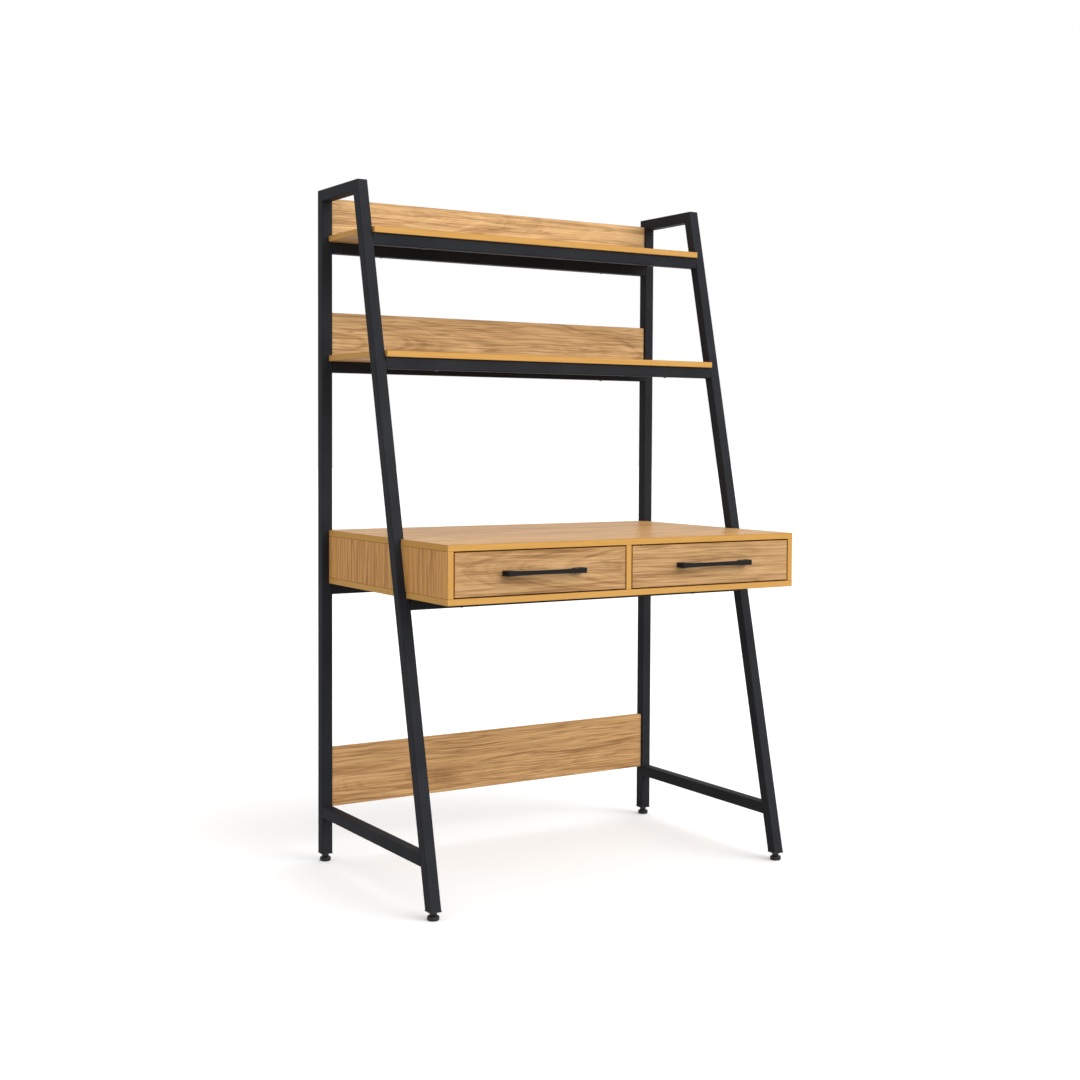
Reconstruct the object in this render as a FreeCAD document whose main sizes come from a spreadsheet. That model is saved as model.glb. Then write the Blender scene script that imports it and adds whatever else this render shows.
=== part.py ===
import FreeCAD, Part
import os
import Sketcher

# Ladder desk with two shelves, in millimetres, +Z up, with its front towards -Y.
# Two leaning side frames of square steel tube carry rails, and the rails carry the boards.
# Sketches measure y from the plane behind the rear posts, and each body is then moved by
# CENTRE_Y, so that the origin lies on the floor under the middle of the whole piece.

SIZES = {
    # Side frames of square tube
    "frame_width": "900",
    "frame_height": "1500",
    "foot_height": "19",
    "tube_size": "25",
    "tube_wall": "1.5",
    "tube_corner": "2.5",
    "front_post_top_reach": "205",
    "front_post_setback": "38",
    "tie_bar_height": "100",
    # Boards and how they sit round the posts
    "board_thickness": "13",
    "board_edge": "0.5",
    "board_lap": "9",
    "board_clearance": "0.5",
    "board_inset": "7",
    "upper_shelf_drop": "114",
    "lower_shelf_drop": "378",
    "shelf_nosing": "8",
    "upper_upstand_height": "83",
    "lower_upstand_height": "95",
    "upstand_rebate": "3",
    "stretcher_height": "123",
    "stretcher_width": "133",
    # Desk box
    "desk_height": "746",
    "desk_depth": "585",
    "drawer_opening_height": "93",
    "divider_shift": "7.5",
    # Drawers
    "drawer_gap": "2.5",
    "drawer_lift": "10",
    "drawer_rear_space": "73.5",
    "drawer_side_height": "62",
    "drawer_side_thickness": "12",
    "drawer_bottom_thickness": "3",
    # Ball runners
    "runner_space": "12.7",
    "runner_setback": "2",
    "runner_end_gap": "8",
    "runner_overlap": "120",
    "runner_height": "35",
    "runner_depth": "9.5",
    "runner_lip": "3.2",
    "runner_steel": "1.2",
    "ball_diameter": "4",
    "ball_clearance": "0.3",
    "ball_spacing": "30",
    "cage_length": "112",
    "cage_steel": "0.8",
    "cage_clearance": "0.6",
    # Handles
    "handle_length": "188",
    "handle_hole_spacing": "160",
    "handle_projection": "22",
    "handle_end_height": "11",
    "handle_middle_height": "8",
    "handle_bar_depth": "8",
    "handle_foot_length": "24",
    "handle_corner": "5",
    "handle_edge": "0.8",
    # Screws
    "screw_diameter": "4",
    "screw_head_diameter": "8",
    "screw_head_height": "2.2",
    "screw_clearance": "0.6",
    "screw_bite": "10",
    "screw_hole_spare": "1",
    "rail_screw_spread": "300",
    "upstand_screw_bite": "24",
    # Tabs that hold the rear stretcher
    "tab_width": "30",
    "tab_height": "80",
    "tab_steel": "2.5",
    "tab_screw_spread": "25",
    # Levelling feet and their threaded inserts
    "foot_pad_diameter": "25",
    "foot_pad_height": "9",
    "foot_pad_edge": "2",
    "foot_nut_width": "13",
    "foot_nut_height": "6",
    "foot_stem_diameter": "8",
    "foot_stem_rise": "20",
    "foot_stem_clearance": "0.6",
    "insert_flange": "2",
    "insert_depth": "16",
    "insert_clearance": "0.3",
    # One overrun for all cuts that pass right through
    "cut_overrun": "5",
}

# Counts. Round things that repeat have flat sides, so that the whole keeps few faces.
BALLS_PER_ROW = 4
BALL_SIDES = 6
SCREW_SIDES = 8
NUT_SIDES = 6
FOOT_SIDES = 32

# An edge is long when it is this many times as long as what it is compared with
LONG_EDGE_SHARE = 2

# Sketch geometry starts from this value, before its constraints give it its real size
FIRST_GUESS = 1.0

LEFT = -1
RIGHT = 1
SIDES = {"left": LEFT, "right": RIGHT}

doc = FreeCAD.newDocument("LadderDesk")
sheet = doc.addObject("Spreadsheet::Sheet", "Sizes")
for row, (alias, value) in enumerate(SIZES.items(), start=1):
    sheet.set(f"A{row}", alias)
    sheet.set(f"B{row}", value)
    sheet.setAlias(f"B{row}", alias)
doc.recompute()

sub_parts = []


# Sizes worked out from the sheet, as expressions

CENTRE_Y = "((Sizes.desk_depth + Sizes.handle_projection) / 2)"
HALF_GAP = "(Sizes.frame_width / 2 - Sizes.tube_size)"
HALF_BOARD = f"({HALF_GAP} + Sizes.board_lap)"
HALF_NOTCHED = f"({HALF_GAP} - Sizes.board_clearance)"
FOOT_REACH = "(Sizes.desk_depth - Sizes.front_post_setback)"
LEAN = f"(({FOOT_REACH} - Sizes.front_post_top_reach) / (Sizes.frame_height - Sizes.foot_height))"
SLANT = f"sqrt(1 + {LEAN}^2)"
POST_DEPTH = f"(Sizes.tube_size * {SLANT})"
REAR_NOTCH_Y = "-(Sizes.tube_size + Sizes.board_clearance)"
BOARD_BACK_Y = "-Sizes.board_inset"
BOARD_FRONT_Y = "-(Sizes.board_inset + Sizes.board_thickness)"
REAR_RAIL_Y = "-Sizes.tube_size"

UPPER_SHELF_UNDER = "(Sizes.frame_height - Sizes.upper_shelf_drop)"
LOWER_SHELF_UNDER = "(Sizes.frame_height - Sizes.lower_shelf_drop)"
DESK_UNDER = "(Sizes.desk_height - 2 * Sizes.board_thickness - Sizes.drawer_opening_height)"
OPENING_LOW = f"({DESK_UNDER} + Sizes.board_thickness)"
OPENING_HIGH = "(Sizes.desk_height - Sizes.board_thickness)"
DESK_BACK_FRONT_Y = f"({REAR_NOTCH_Y} - Sizes.board_thickness)"

DRAWER_FRONT_BACK_Y = "(Sizes.board_thickness - Sizes.desk_depth)"
DRAWER_BACK_Y = f"({DESK_BACK_FRONT_Y} - Sizes.drawer_rear_space)"
DRAWER_LOW = f"({OPENING_LOW} + Sizes.drawer_lift)"
DRAWER_HIGH = f"({DRAWER_LOW} + Sizes.drawer_side_height)"
FRONT_MIDDLE_Z = f"(({OPENING_LOW} + {OPENING_HIGH}) / 2)"

# A runner is as long as its drawer allows, and its members still lap when the drawer is out
RUNNER_MIDDLE_Z = f"({DRAWER_LOW} + Sizes.drawer_side_height / 2)"
RUNNER_FRONT_Y = f"({DRAWER_FRONT_BACK_Y} + Sizes.runner_setback)"
RUNNER_BACK_Y = f"({DRAWER_BACK_Y} - Sizes.runner_end_gap)"
RUNNER_LENGTH = f"({RUNNER_BACK_Y} - {RUNNER_FRONT_Y})"
DRAWER_TRAVEL = f"({RUNNER_LENGTH} - Sizes.runner_overlap)"

SCREW_HOLE_RADIUS = "((Sizes.screw_diameter + Sizes.screw_clearance) / 2)"
INSERT_INSET = "(Sizes.tube_wall + Sizes.insert_clearance)"
FRONT_FOOT_Y = f"(-{FOOT_REACH} + {POST_DEPTH} / 2)"
REAR_FOOT_Y = "(-Sizes.tube_size / 2)"


def reach(height):
    """How far the front face of a leaning post stands ahead of the rear plane at a height."""
    return f"(Sizes.front_post_top_reach + {LEAN} * (Sizes.frame_height - ({height})))"


def leaning_y(height, depth="0"):
    """The y of a leaning post at a height, at a horizontal depth behind its front face."""
    return f"(-{reach(height)} + {depth})"


def front_rail_y(board_under):
    """The front face of the rail below a board, level with the leaning posts at mid-height."""
    return leaning_y(f"{board_under} - Sizes.tube_size / 2")


def rail_screw_rows(board_under):
    """The y of the screws in the front and in the rear rail below a board."""
    return f"({front_rail_y(board_under)} + Sizes.tube_size / 2)", REAR_FOOT_Y


RAIL_SCREW_X = ("-Sizes.rail_screw_spread", "Sizes.rail_screw_spread")


def half_opening(side):
    """Half the width of a drawer's opening, from the divider to the side panel."""
    panels = "(Sizes.board_thickness + Sizes.board_thickness / 2)"
    return f"(({HALF_BOARD} - {panels} + {side} * Sizes.divider_shift) / 2)"


def drawer_x(side):
    """The middle of a drawer's opening."""
    return f"(({side} * ({HALF_BOARD} - Sizes.board_thickness / 2) - Sizes.divider_shift) / 2)"


def size(alias):
    """A number from the sheet."""
    return float(sheet.get(alias))


# Short ways to make sketches and features

def new_body(label):
    """An empty body with a label, which names its file if it is kept."""
    body = doc.addObject("PartDesign::Body", label)
    body.Label = label
    return body


def keep(thing):
    """Adds a finished object to the sub-parts that are written out."""
    sub_parts.append(thing)
    return thing


def group(label, members):
    """Several like solids that are one sub-part."""
    compound = doc.addObject("Part::Compound", label)
    compound.Label = label
    compound.Links = members
    return keep(compound)


def place(thing, x="0", y=CENTRE_Y, z="0"):
    """Binds an object's place to expressions."""
    for axis, expression in (("x", x), ("y", y), ("z", z)):
        thing.setExpression(f"Placement.Base.{axis}", expression)


def new_sketch(body, role, offset="0"):
    """A sketch on one of the body's own origin planes, moved along that plane's normal."""
    plane = next(f for f in body.Origin.OriginFeatures if f.Role == role)
    sketch = body.newObject("Sketcher::SketchObject", f"{body.Name}_{role}")
    sketch.AttachmentSupport = (plane, [""])
    sketch.MapMode = "FlatFace"
    sketch.setExpression("AttachmentOffset.Base.z", offset)
    return sketch


def hold_point(sketch, geometry, position, across, along):
    """Binds one point of a sketch to two expressions, measured from the sketch's origin."""
    for kind, expression in (("DistanceX", across), ("DistanceY", along)):
        datum = Sketcher.Constraint(kind, -1, 1, geometry, position, FIRST_GUESS)
        row = sketch.addConstraint(datum)
        sketch.setExpression(f"Constraints[{row}]", expression)


def add_polygon(sketch, corners):
    """A closed outline of straight lines through corners given as pairs of expressions."""
    count = len(corners)
    first = sketch.GeometryCount
    for step in range(count):
        start = FreeCAD.Vector(step, step * step, 0)
        end = FreeCAD.Vector(step + 1, (step + 1) * (step + 1), 0)
        sketch.addGeometry(Part.LineSegment(start, end))
    for step in range(count):
        following = first + (step + 1) % count
        sketch.addConstraint(Sketcher.Constraint("Coincident", first + step, 2, following, 1))
    for step, (across, along) in enumerate(corners):
        hold_point(sketch, first + step, 1, across, along)


def add_box(sketch, low, high):
    """A rectangle between two corners given as pairs of expressions."""
    add_polygon(sketch, [low, (high[0], low[1]), high, (low[0], high[1])])


def regular_corners(radius, sides, across="0", along="0"):
    """The corners of a regular polygon round a centre, as pairs of expressions."""
    turns = [f"({n} * 360 deg / {sides})" for n in range(sides)]
    return [(f"({across} + {radius} * cos{turn})", f"({along} + {radius} * sin{turn})") for turn in turns]


def add_screw_holes(sketch, centres):
    """Holes round the screws, each with as many flat sides as a screw has."""
    for across, along in centres:
        add_polygon(sketch, regular_corners(SCREW_HOLE_RADIUS, SCREW_SIDES, across, along))


def add_circle(sketch, across, along, diameter):
    """A circle round a centre given as two expressions."""
    centre = FreeCAD.Vector(0, 0, 0)
    upward = FreeCAD.Vector(0, 0, 1)
    ring = sketch.addGeometry(Part.Circle(centre, upward, FIRST_GUESS))
    hold_point(sketch, ring, 3, across, along)
    row = sketch.addConstraint(Sketcher.Constraint("Diameter", ring, FIRST_GUESS))
    sketch.setExpression(f"Constraints[{row}]", diameter)


def extrude(body, sketch, kind, length, symmetric):
    """A pad or a pocket of a sketch, bound to a length."""
    feature = body.newObject(f"PartDesign::{kind}", f"{body.Name}_{kind}")
    feature.Profile = sketch
    feature.SideType = "Symmetric" if symmetric else "One side"
    feature.setExpression("Length", length)
    doc.recompute()
    return feature


def pad(body, sketch, length, symmetric=False):
    """Material along the sketch's normal, or to both sides of it."""
    return extrude(body, sketch, "Pad", length, symmetric)


def cut(body, sketch, length):
    """A cut to both sides of a sketch, which has to take material away."""
    before = body.Shape.Volume
    feature = extrude(body, sketch, "Pocket", length, True)
    if not body.Shape.Volume < before:
        raise RuntimeError(f"{body.Label}: a cut takes nothing away")
    return feature


def add_loft(body, sections, ruled=False):
    """Material through a row of sketches, with flat bands between them or as one smooth form."""
    loft = body.newObject("PartDesign::AdditiveLoft", f"{body.Name}_Loft")
    loft.Profile = sections[0]
    loft.Sections = sections[1:]
    loft.Ruled = ruled
    doc.recompute()
    return loft


def soften(body, kind, amount, wanted):
    """A fillet or a chamfer on the edges of a body that a test picks out."""
    base = body.Tip
    picked = [f"Edge{n}" for n, edge in enumerate(base.Shape.Edges, start=1) if wanted(edge)]
    feature = body.newObject(f"PartDesign::{kind}", f"{body.Name}_{kind}")
    feature.Base = (base, picked)
    feature.setExpression("Radius" if kind == "Fillet" else "Size", amount)
    doc.recompute()
    return feature


def along_x(edge):
    """True for an edge that runs across the piece."""
    return edge.BoundBox.XLength > edge.BoundBox.YLength + edge.BoundBox.ZLength


def level(edge):
    """True for an edge that keeps its height."""
    return edge.BoundBox.ZLength < edge.Length / LONG_EDGE_SHARE


def any_edge(edge):
    """True for every edge."""
    return True


# Side frames

FOOT = "Sizes.foot_height"
TOP = "Sizes.frame_height"
UNDER_TOP = "(Sizes.frame_height - Sizes.tube_size)"
TIE = "Sizes.tie_bar_height"
TIE_TOP = "(Sizes.tie_bar_height + Sizes.tube_size)"
BELOW_FOOT = "(Sizes.foot_height - Sizes.cut_overrun)"
ABOVE_TOP = "(Sizes.frame_height + Sizes.cut_overrun)"
WALL_DEPTH = f"(Sizes.tube_wall * {SLANT})"
FAR_WALL_DEPTH = f"({POST_DEPTH} - {WALL_DEPTH})"
FRONT_OVERRUN = f"(-{FOOT_REACH} - Sizes.cut_overrun)"

# Each tube of a side frame is the outline of its side view and the strip that hollows it,
# both as y and z. The tubes meet in mitres at the top, and the tie bar is cut to the lean.
SIDE_TUBES = {
    "rear_post": (
        [("0", FOOT), ("-Sizes.tube_size", FOOT), ("-Sizes.tube_size", UNDER_TOP), ("0", TOP)],
        [
            ("-Sizes.tube_wall", BELOW_FOOT),
            ("-(Sizes.tube_size - Sizes.tube_wall)", BELOW_FOOT),
            ("-(Sizes.tube_size - Sizes.tube_wall)", ABOVE_TOP),
            ("-Sizes.tube_wall", ABOVE_TOP),
        ],
    ),
    "front_post": (
        [
            (leaning_y(FOOT), FOOT),
            (leaning_y(TOP), TOP),
            (leaning_y(UNDER_TOP, POST_DEPTH), UNDER_TOP),
            (leaning_y(FOOT, POST_DEPTH), FOOT),
        ],
        [
            (leaning_y(BELOW_FOOT, WALL_DEPTH), BELOW_FOOT),
            (leaning_y(ABOVE_TOP, WALL_DEPTH), ABOVE_TOP),
            (leaning_y(ABOVE_TOP, FAR_WALL_DEPTH), ABOVE_TOP),
            (leaning_y(BELOW_FOOT, FAR_WALL_DEPTH), BELOW_FOOT),
        ],
    ),
    "top_bar": (
        [
            ("0", TOP),
            ("-Sizes.tube_size", UNDER_TOP),
            (leaning_y(UNDER_TOP, POST_DEPTH), UNDER_TOP),
            (leaning_y(TOP), TOP),
        ],
        [
            ("Sizes.cut_overrun", f"{TOP} - Sizes.tube_wall"),
            ("Sizes.cut_overrun", f"{UNDER_TOP} + Sizes.tube_wall"),
            (FRONT_OVERRUN, f"{UNDER_TOP} + Sizes.tube_wall"),
            (FRONT_OVERRUN, f"{TOP} - Sizes.tube_wall"),
        ],
    ),
    "tie_bar": (
        [
            ("-Sizes.tube_size", TIE_TOP),
            ("-Sizes.tube_size", TIE),
            (leaning_y(TIE, POST_DEPTH), TIE),
            (leaning_y(TIE_TOP, POST_DEPTH), TIE_TOP),
        ],
        [
            ("Sizes.cut_overrun", f"{TIE_TOP} - Sizes.tube_wall"),
            ("Sizes.cut_overrun", f"{TIE} + Sizes.tube_wall"),
            (FRONT_OVERRUN, f"{TIE} + Sizes.tube_wall"),
            (FRONT_OVERRUN, f"{TIE_TOP} - Sizes.tube_wall"),
        ],
    ),
}


def long_in_side_view(edge):
    """True for the four long edges of a tube that lies in a side frame."""
    return edge.Length > LONG_EDGE_SHARE * size("tube_size")


def side_tube(label, side, outline, hollow):
    """A square tube of one side frame, with rounded corners and open ends."""
    body = new_body(label)
    sketch = new_sketch(body, "YZ_Plane")
    add_polygon(sketch, outline)
    pad(body, sketch, "Sizes.tube_size", symmetric=True)
    soften(body, "Fillet", "Sizes.tube_corner", long_in_side_view)
    core = new_sketch(body, "YZ_Plane")
    add_polygon(core, hollow)
    cut(body, core, "Sizes.tube_size - 2 * Sizes.tube_wall")
    place(body, x=f"{side} * (Sizes.frame_width - Sizes.tube_size) / 2")
    return keep(body)


for side_name, side in SIDES.items():
    for tube_name, (outline, hollow) in SIDE_TUBES.items():
        side_tube(f"{side_name}_{tube_name}", side, outline, hollow)


# Rails between the side frames

def rail(label, front_y, board_under):
    """A square tube from side to side below a board, drilled for the screws into the board."""
    body = new_body(label)
    back_y = f"({front_y} + Sizes.tube_size)"
    low = f"({board_under} - Sizes.tube_size)"
    sketch = new_sketch(body, "YZ_Plane")
    add_box(sketch, (front_y, low), (back_y, board_under))
    pad(body, sketch, f"2 * {HALF_GAP}", symmetric=True)
    soften(body, "Fillet", "Sizes.tube_corner", along_x)
    core = new_sketch(body, "YZ_Plane")
    add_box(
        core,
        (f"{front_y} + Sizes.tube_wall", f"{low} + Sizes.tube_wall"),
        (f"{back_y} - Sizes.tube_wall", f"{board_under} - Sizes.tube_wall"),
    )
    cut(body, core, f"2 * ({HALF_GAP} + Sizes.cut_overrun)")
    holes = new_sketch(body, "XY_Plane", board_under)
    middle_y = f"({front_y} + Sizes.tube_size / 2)"
    add_screw_holes(holes, [(x, middle_y) for x in RAIL_SCREW_X])
    cut(body, holes, "2 * (Sizes.tube_size + Sizes.cut_overrun)")
    place(body)
    return keep(body)


BOARD_LEVELS = {
    "upper_shelf": UPPER_SHELF_UNDER,
    "lower_shelf": LOWER_SHELF_UNDER,
    "desk": DESK_UNDER,
}
for board_name, under in BOARD_LEVELS.items():
    rail(f"{board_name}_front_rail", front_rail_y(under), under)
    rail(f"{board_name}_rear_rail", REAR_RAIL_Y, under)


# Shelves, upstands and the rear stretcher

def mirrored(half):
    """A closed outline from the corners of its right half, listed from back to front."""
    return half + [(f"-({across})", along) for across, along in reversed(half)]


def board(label, outline, low, holes=(), through=()):
    """A level board with eased edges, drilled from below to the screw's depth or right through."""
    body = new_body(label)
    sketch = new_sketch(body, "XY_Plane")
    add_polygon(sketch, outline)
    pad(body, sketch, "Sizes.board_thickness")
    soften(body, "Chamfer", "Sizes.board_edge", level)
    if holes:
        blind = new_sketch(body, "XY_Plane")
        add_screw_holes(blind, holes)
        cut(body, blind, "2 * (Sizes.screw_bite + Sizes.screw_hole_spare)")
    if through:
        open_holes = new_sketch(body, "XY_Plane")
        add_screw_holes(open_holes, through)
        cut(body, open_holes, "2 * (Sizes.board_thickness + Sizes.cut_overrun)")
    place(body, z=low)
    return keep(body)


def screw_row(along):
    """The places of the screws in one rail."""
    return [(x, along) for x in RAIL_SCREW_X]


def shelf(label, under):
    """A shelf notched round all four posts, with a rebate along its back that seats an upstand."""
    upper_face = f"({under} + Sizes.board_thickness)"
    behind_post = f"({leaning_y(upper_face, POST_DEPTH)} + Sizes.board_clearance)"
    front_y = f"({leaning_y(under)} - Sizes.shelf_nosing)"
    half = [
        (HALF_NOTCHED, BOARD_BACK_Y),
        (HALF_NOTCHED, REAR_NOTCH_Y),
        (HALF_BOARD, REAR_NOTCH_Y),
        (HALF_BOARD, behind_post),
        (HALF_NOTCHED, behind_post),
        (HALF_NOTCHED, front_y),
    ]
    front_row, rear_row = rail_screw_rows(under)
    body = board(label, mirrored(half), under, screw_row(front_row), screw_row(rear_row))
    rebate = new_sketch(body, "XY_Plane", "Sizes.board_thickness")
    rebate_front = f"({BOARD_FRONT_Y} - Sizes.board_clearance)"
    add_box(rebate, (f"-{HALF_BOARD}", rebate_front), (HALF_BOARD, "Sizes.cut_overrun"))
    cut(body, rebate, "2 * Sizes.upstand_rebate")


def upright_board(label, half_length, low, height, front_y=BOARD_FRONT_Y, back_y=BOARD_BACK_Y, x="0"):
    """A board on edge, as long to the left of its middle as to the right, with eased edges."""
    body = new_body(label)
    sketch = new_sketch(body, "XY_Plane")
    add_box(sketch, (f"-{half_length}", front_y), (half_length, back_y))
    pad(body, sketch, height)
    soften(body, "Chamfer", "Sizes.board_edge", any_edge)
    place(body, x=x, z=low)
    return keep(body)


def upstand(label, under, height):
    """A board that stands in a shelf's rebate and takes the screws that come up through the shelf."""
    low = f"{under} + Sizes.board_thickness - Sizes.upstand_rebate"
    body = upright_board(label, HALF_NOTCHED, low, f"{height} + Sizes.upstand_rebate")
    holes = new_sketch(body, "XY_Plane")
    add_screw_holes(holes, screw_row(REAR_FOOT_Y))
    cut(body, holes, "2 * (Sizes.upstand_screw_bite + Sizes.screw_hole_spare)")


shelf("upper_shelf", UPPER_SHELF_UNDER)
shelf("lower_shelf", LOWER_SHELF_UNDER)
upstand("upper_upstand", UPPER_SHELF_UNDER, "Sizes.upper_upstand_height")
upstand("lower_upstand", LOWER_SHELF_UNDER, "Sizes.lower_upstand_height")

TAB_SCREW_X = f"({HALF_GAP} - Sizes.tab_width / 2)"
STRETCHER_MIDDLE = "(Sizes.stretcher_height + Sizes.stretcher_width / 2)"
TAB_SCREW_Z = (
    f"({STRETCHER_MIDDLE} - Sizes.tab_screw_spread)",
    f"({STRETCHER_MIDDLE} + Sizes.tab_screw_spread)",
)

stretcher = upright_board(
    "rear_stretcher",
    HALF_NOTCHED,
    "Sizes.stretcher_height",
    "Sizes.stretcher_width",
)
stretcher_holes = new_sketch(stretcher, "XZ_Plane", "Sizes.board_inset")
for side in SIDES.values():
    hole_places = [(f"{side} * {TAB_SCREW_X}", f"{z} - Sizes.stretcher_height") for z in TAB_SCREW_Z]
    add_screw_holes(stretcher_holes, hole_places)
cut(stretcher, stretcher_holes, "2 * (Sizes.screw_bite + Sizes.screw_hole_spare)")


# Desk box: two level panels with the sides, divider and back between them

def desk_panel(label, low, holes=()):
    """A level panel of the desk box, notched round the rear posts and slotted for the front ones."""
    high = f"({low} + Sizes.board_thickness)"
    slot_back = f"({leaning_y(high, POST_DEPTH)} + Sizes.board_clearance)"
    slot_front = f"({leaning_y(low)} - Sizes.board_clearance)"
    half = [
        (HALF_NOTCHED, BOARD_BACK_Y),
        (HALF_NOTCHED, REAR_NOTCH_Y),
        (HALF_BOARD, REAR_NOTCH_Y),
        (HALF_BOARD, slot_back),
        (HALF_NOTCHED, slot_back),
        (HALF_NOTCHED, slot_front),
        (HALF_BOARD, slot_front),
        (HALF_BOARD, "-Sizes.desk_depth"),
    ]
    return board(label, mirrored(half), low, holes)


def desk_side(side_name, side):
    """A side panel with a slanting groove that lets the leaning front post in."""
    body = new_body(f"desk_{side_name}_side")
    outer_x = "Sizes.board_thickness" if side == RIGHT else "0"
    sketch = new_sketch(body, "YZ_Plane")
    add_box(sketch, ("-Sizes.desk_depth", OPENING_LOW), (REAR_NOTCH_Y, OPENING_HIGH))
    pad(body, sketch, "Sizes.board_thickness")
    soften(body, "Chamfer", "Sizes.board_edge", any_edge)
    groove = new_sketch(body, "YZ_Plane", outer_x)
    low = f"({OPENING_LOW} - Sizes.cut_overrun)"
    high = f"({OPENING_HIGH} + Sizes.cut_overrun)"
    add_polygon(
        groove,
        [
            (leaning_y(low, "-Sizes.board_clearance"), low),
            (leaning_y(high, "-Sizes.board_clearance"), high),
            (leaning_y(high, f"{POST_DEPTH} + Sizes.board_clearance"), high),
            (leaning_y(low, f"{POST_DEPTH} + Sizes.board_clearance"), low),
        ],
    )
    cut(body, groove, "2 * (Sizes.board_lap + Sizes.board_clearance)")
    inner_x = f"({HALF_BOARD} - Sizes.board_thickness)" if side == RIGHT else f"-{HALF_BOARD}"
    place(body, x=inner_x)
    return keep(body)


desk_panel("desk_top", OPENING_HIGH)
front_screws, rear_screws = rail_screw_rows(DESK_UNDER)
desk_panel("desk_bottom", DESK_UNDER, screw_row(front_screws) + screw_row(rear_screws))
for side_name, side in SIDES.items():
    desk_side(side_name, side)
upright_board(
    "desk_back",
    f"({HALF_BOARD} - Sizes.board_thickness)",
    OPENING_LOW,
    "Sizes.drawer_opening_height",
    DESK_BACK_FRONT_Y,
    REAR_NOTCH_Y,
)
upright_board(
    "desk_divider",
    "(Sizes.board_thickness / 2)",
    OPENING_LOW,
    "Sizes.drawer_opening_height",
    "-Sizes.desk_depth",
    DESK_BACK_FRONT_Y,
    x="-Sizes.divider_shift",
)


# Drawers, each drawn round the middle of its own opening

def drawer_board(label, x, low, high, holes=()):
    """A board of a drawer between two corners, with eased edges and any holes along y."""
    body = new_body(label)
    sketch = new_sketch(body, "XY_Plane")
    add_box(sketch, low[:2], high[:2])
    pad(body, sketch, f"{high[2]} - {low[2]}")
    soften(body, "Chamfer", "Sizes.board_edge", any_edge)
    if holes:
        drilled = new_sketch(body, "XZ_Plane", f"-({low[1]})")
        add_screw_holes(drilled, holes)
        cut(body, drilled, "2 * (Sizes.board_thickness + Sizes.cut_overrun)")
    place(body, x=x, z=low[2])
    return keep(body)


HANDLE_SCREW_X = ("(-Sizes.handle_hole_spacing / 2)", "(Sizes.handle_hole_spacing / 2)")


def drawer_box(name, side):
    """The front, sides, back and bottom of one drawer."""
    x = drawer_x(side)
    front_half = f"({half_opening(side)} - Sizes.drawer_gap)"
    outside = f"({half_opening(side)} - Sizes.runner_space)"
    inside = f"({outside} - Sizes.drawer_side_thickness)"
    front_low = f"({OPENING_LOW} + Sizes.drawer_gap)"
    drawer_board(
        f"{name}_front",
        x,
        (f"-{front_half}", "-Sizes.desk_depth", front_low),
        (front_half, DRAWER_FRONT_BACK_Y, f"({OPENING_HIGH} - Sizes.drawer_gap)"),
        [(across, f"{FRONT_MIDDLE_Z} - {front_low}") for across in HANDLE_SCREW_X],
    )
    drawer_board(
        f"{name}_left_side",
        x,
        (f"-{outside}", DRAWER_FRONT_BACK_Y, DRAWER_LOW),
        (f"-{inside}", DRAWER_BACK_Y, DRAWER_HIGH),
    )
    drawer_board(
        f"{name}_right_side",
        x,
        (inside, DRAWER_FRONT_BACK_Y, DRAWER_LOW),
        (outside, DRAWER_BACK_Y, DRAWER_HIGH),
    )
    drawer_board(
        f"{name}_back",
        x,
        (f"-{inside}", f"({DRAWER_BACK_Y} - Sizes.drawer_side_thickness)", DRAWER_LOW),
        (inside, DRAWER_BACK_Y, DRAWER_HIGH),
    )
    drawer_board(
        f"{name}_bottom",
        x,
        (f"-{outside}", DRAWER_FRONT_BACK_Y, f"({DRAWER_LOW} - Sizes.drawer_bottom_thickness)"),
        (outside, DRAWER_BACK_Y, DRAWER_LOW),
    )


# Ball runners: profiles as distance from the cabinet's face and height from the runner's middle

RUNNER_HALF = "(Sizes.runner_height / 2)"
RUNNER_INNER_HALF = f"({RUNNER_HALF} - Sizes.runner_steel)"
LIP_HALF = f"({RUNNER_HALF} - Sizes.runner_lip)"
LIP_START = "(Sizes.runner_depth - Sizes.runner_steel)"
BALL_TRACK = "(Sizes.ball_diameter + 2 * Sizes.ball_clearance)"
SLIDE_HALF = f"({RUNNER_INNER_HALF} - {BALL_TRACK})"
SLIDE_INNER_HALF = f"({SLIDE_HALF} - Sizes.runner_steel)"
SLIDE_WEB = "(Sizes.runner_space - Sizes.runner_steel)"
CAGE_WEB = "(Sizes.runner_steel + Sizes.cage_clearance)"
CAGE_WEB_INSIDE = f"({CAGE_WEB} + Sizes.cage_steel)"
SLIDE_START = f"({CAGE_WEB_INSIDE} + Sizes.cage_clearance)"
BALL_HEIGHT = f"({RUNNER_INNER_HALF} - {BALL_TRACK} / 2)"
CAGE_HALF = f"({BALL_HEIGHT} + Sizes.cage_steel / 2)"
CAGE_INNER_HALF = f"({BALL_HEIGHT} - Sizes.cage_steel / 2)"
CAGE_END = f"({LIP_START} - Sizes.cage_clearance)"

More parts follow.
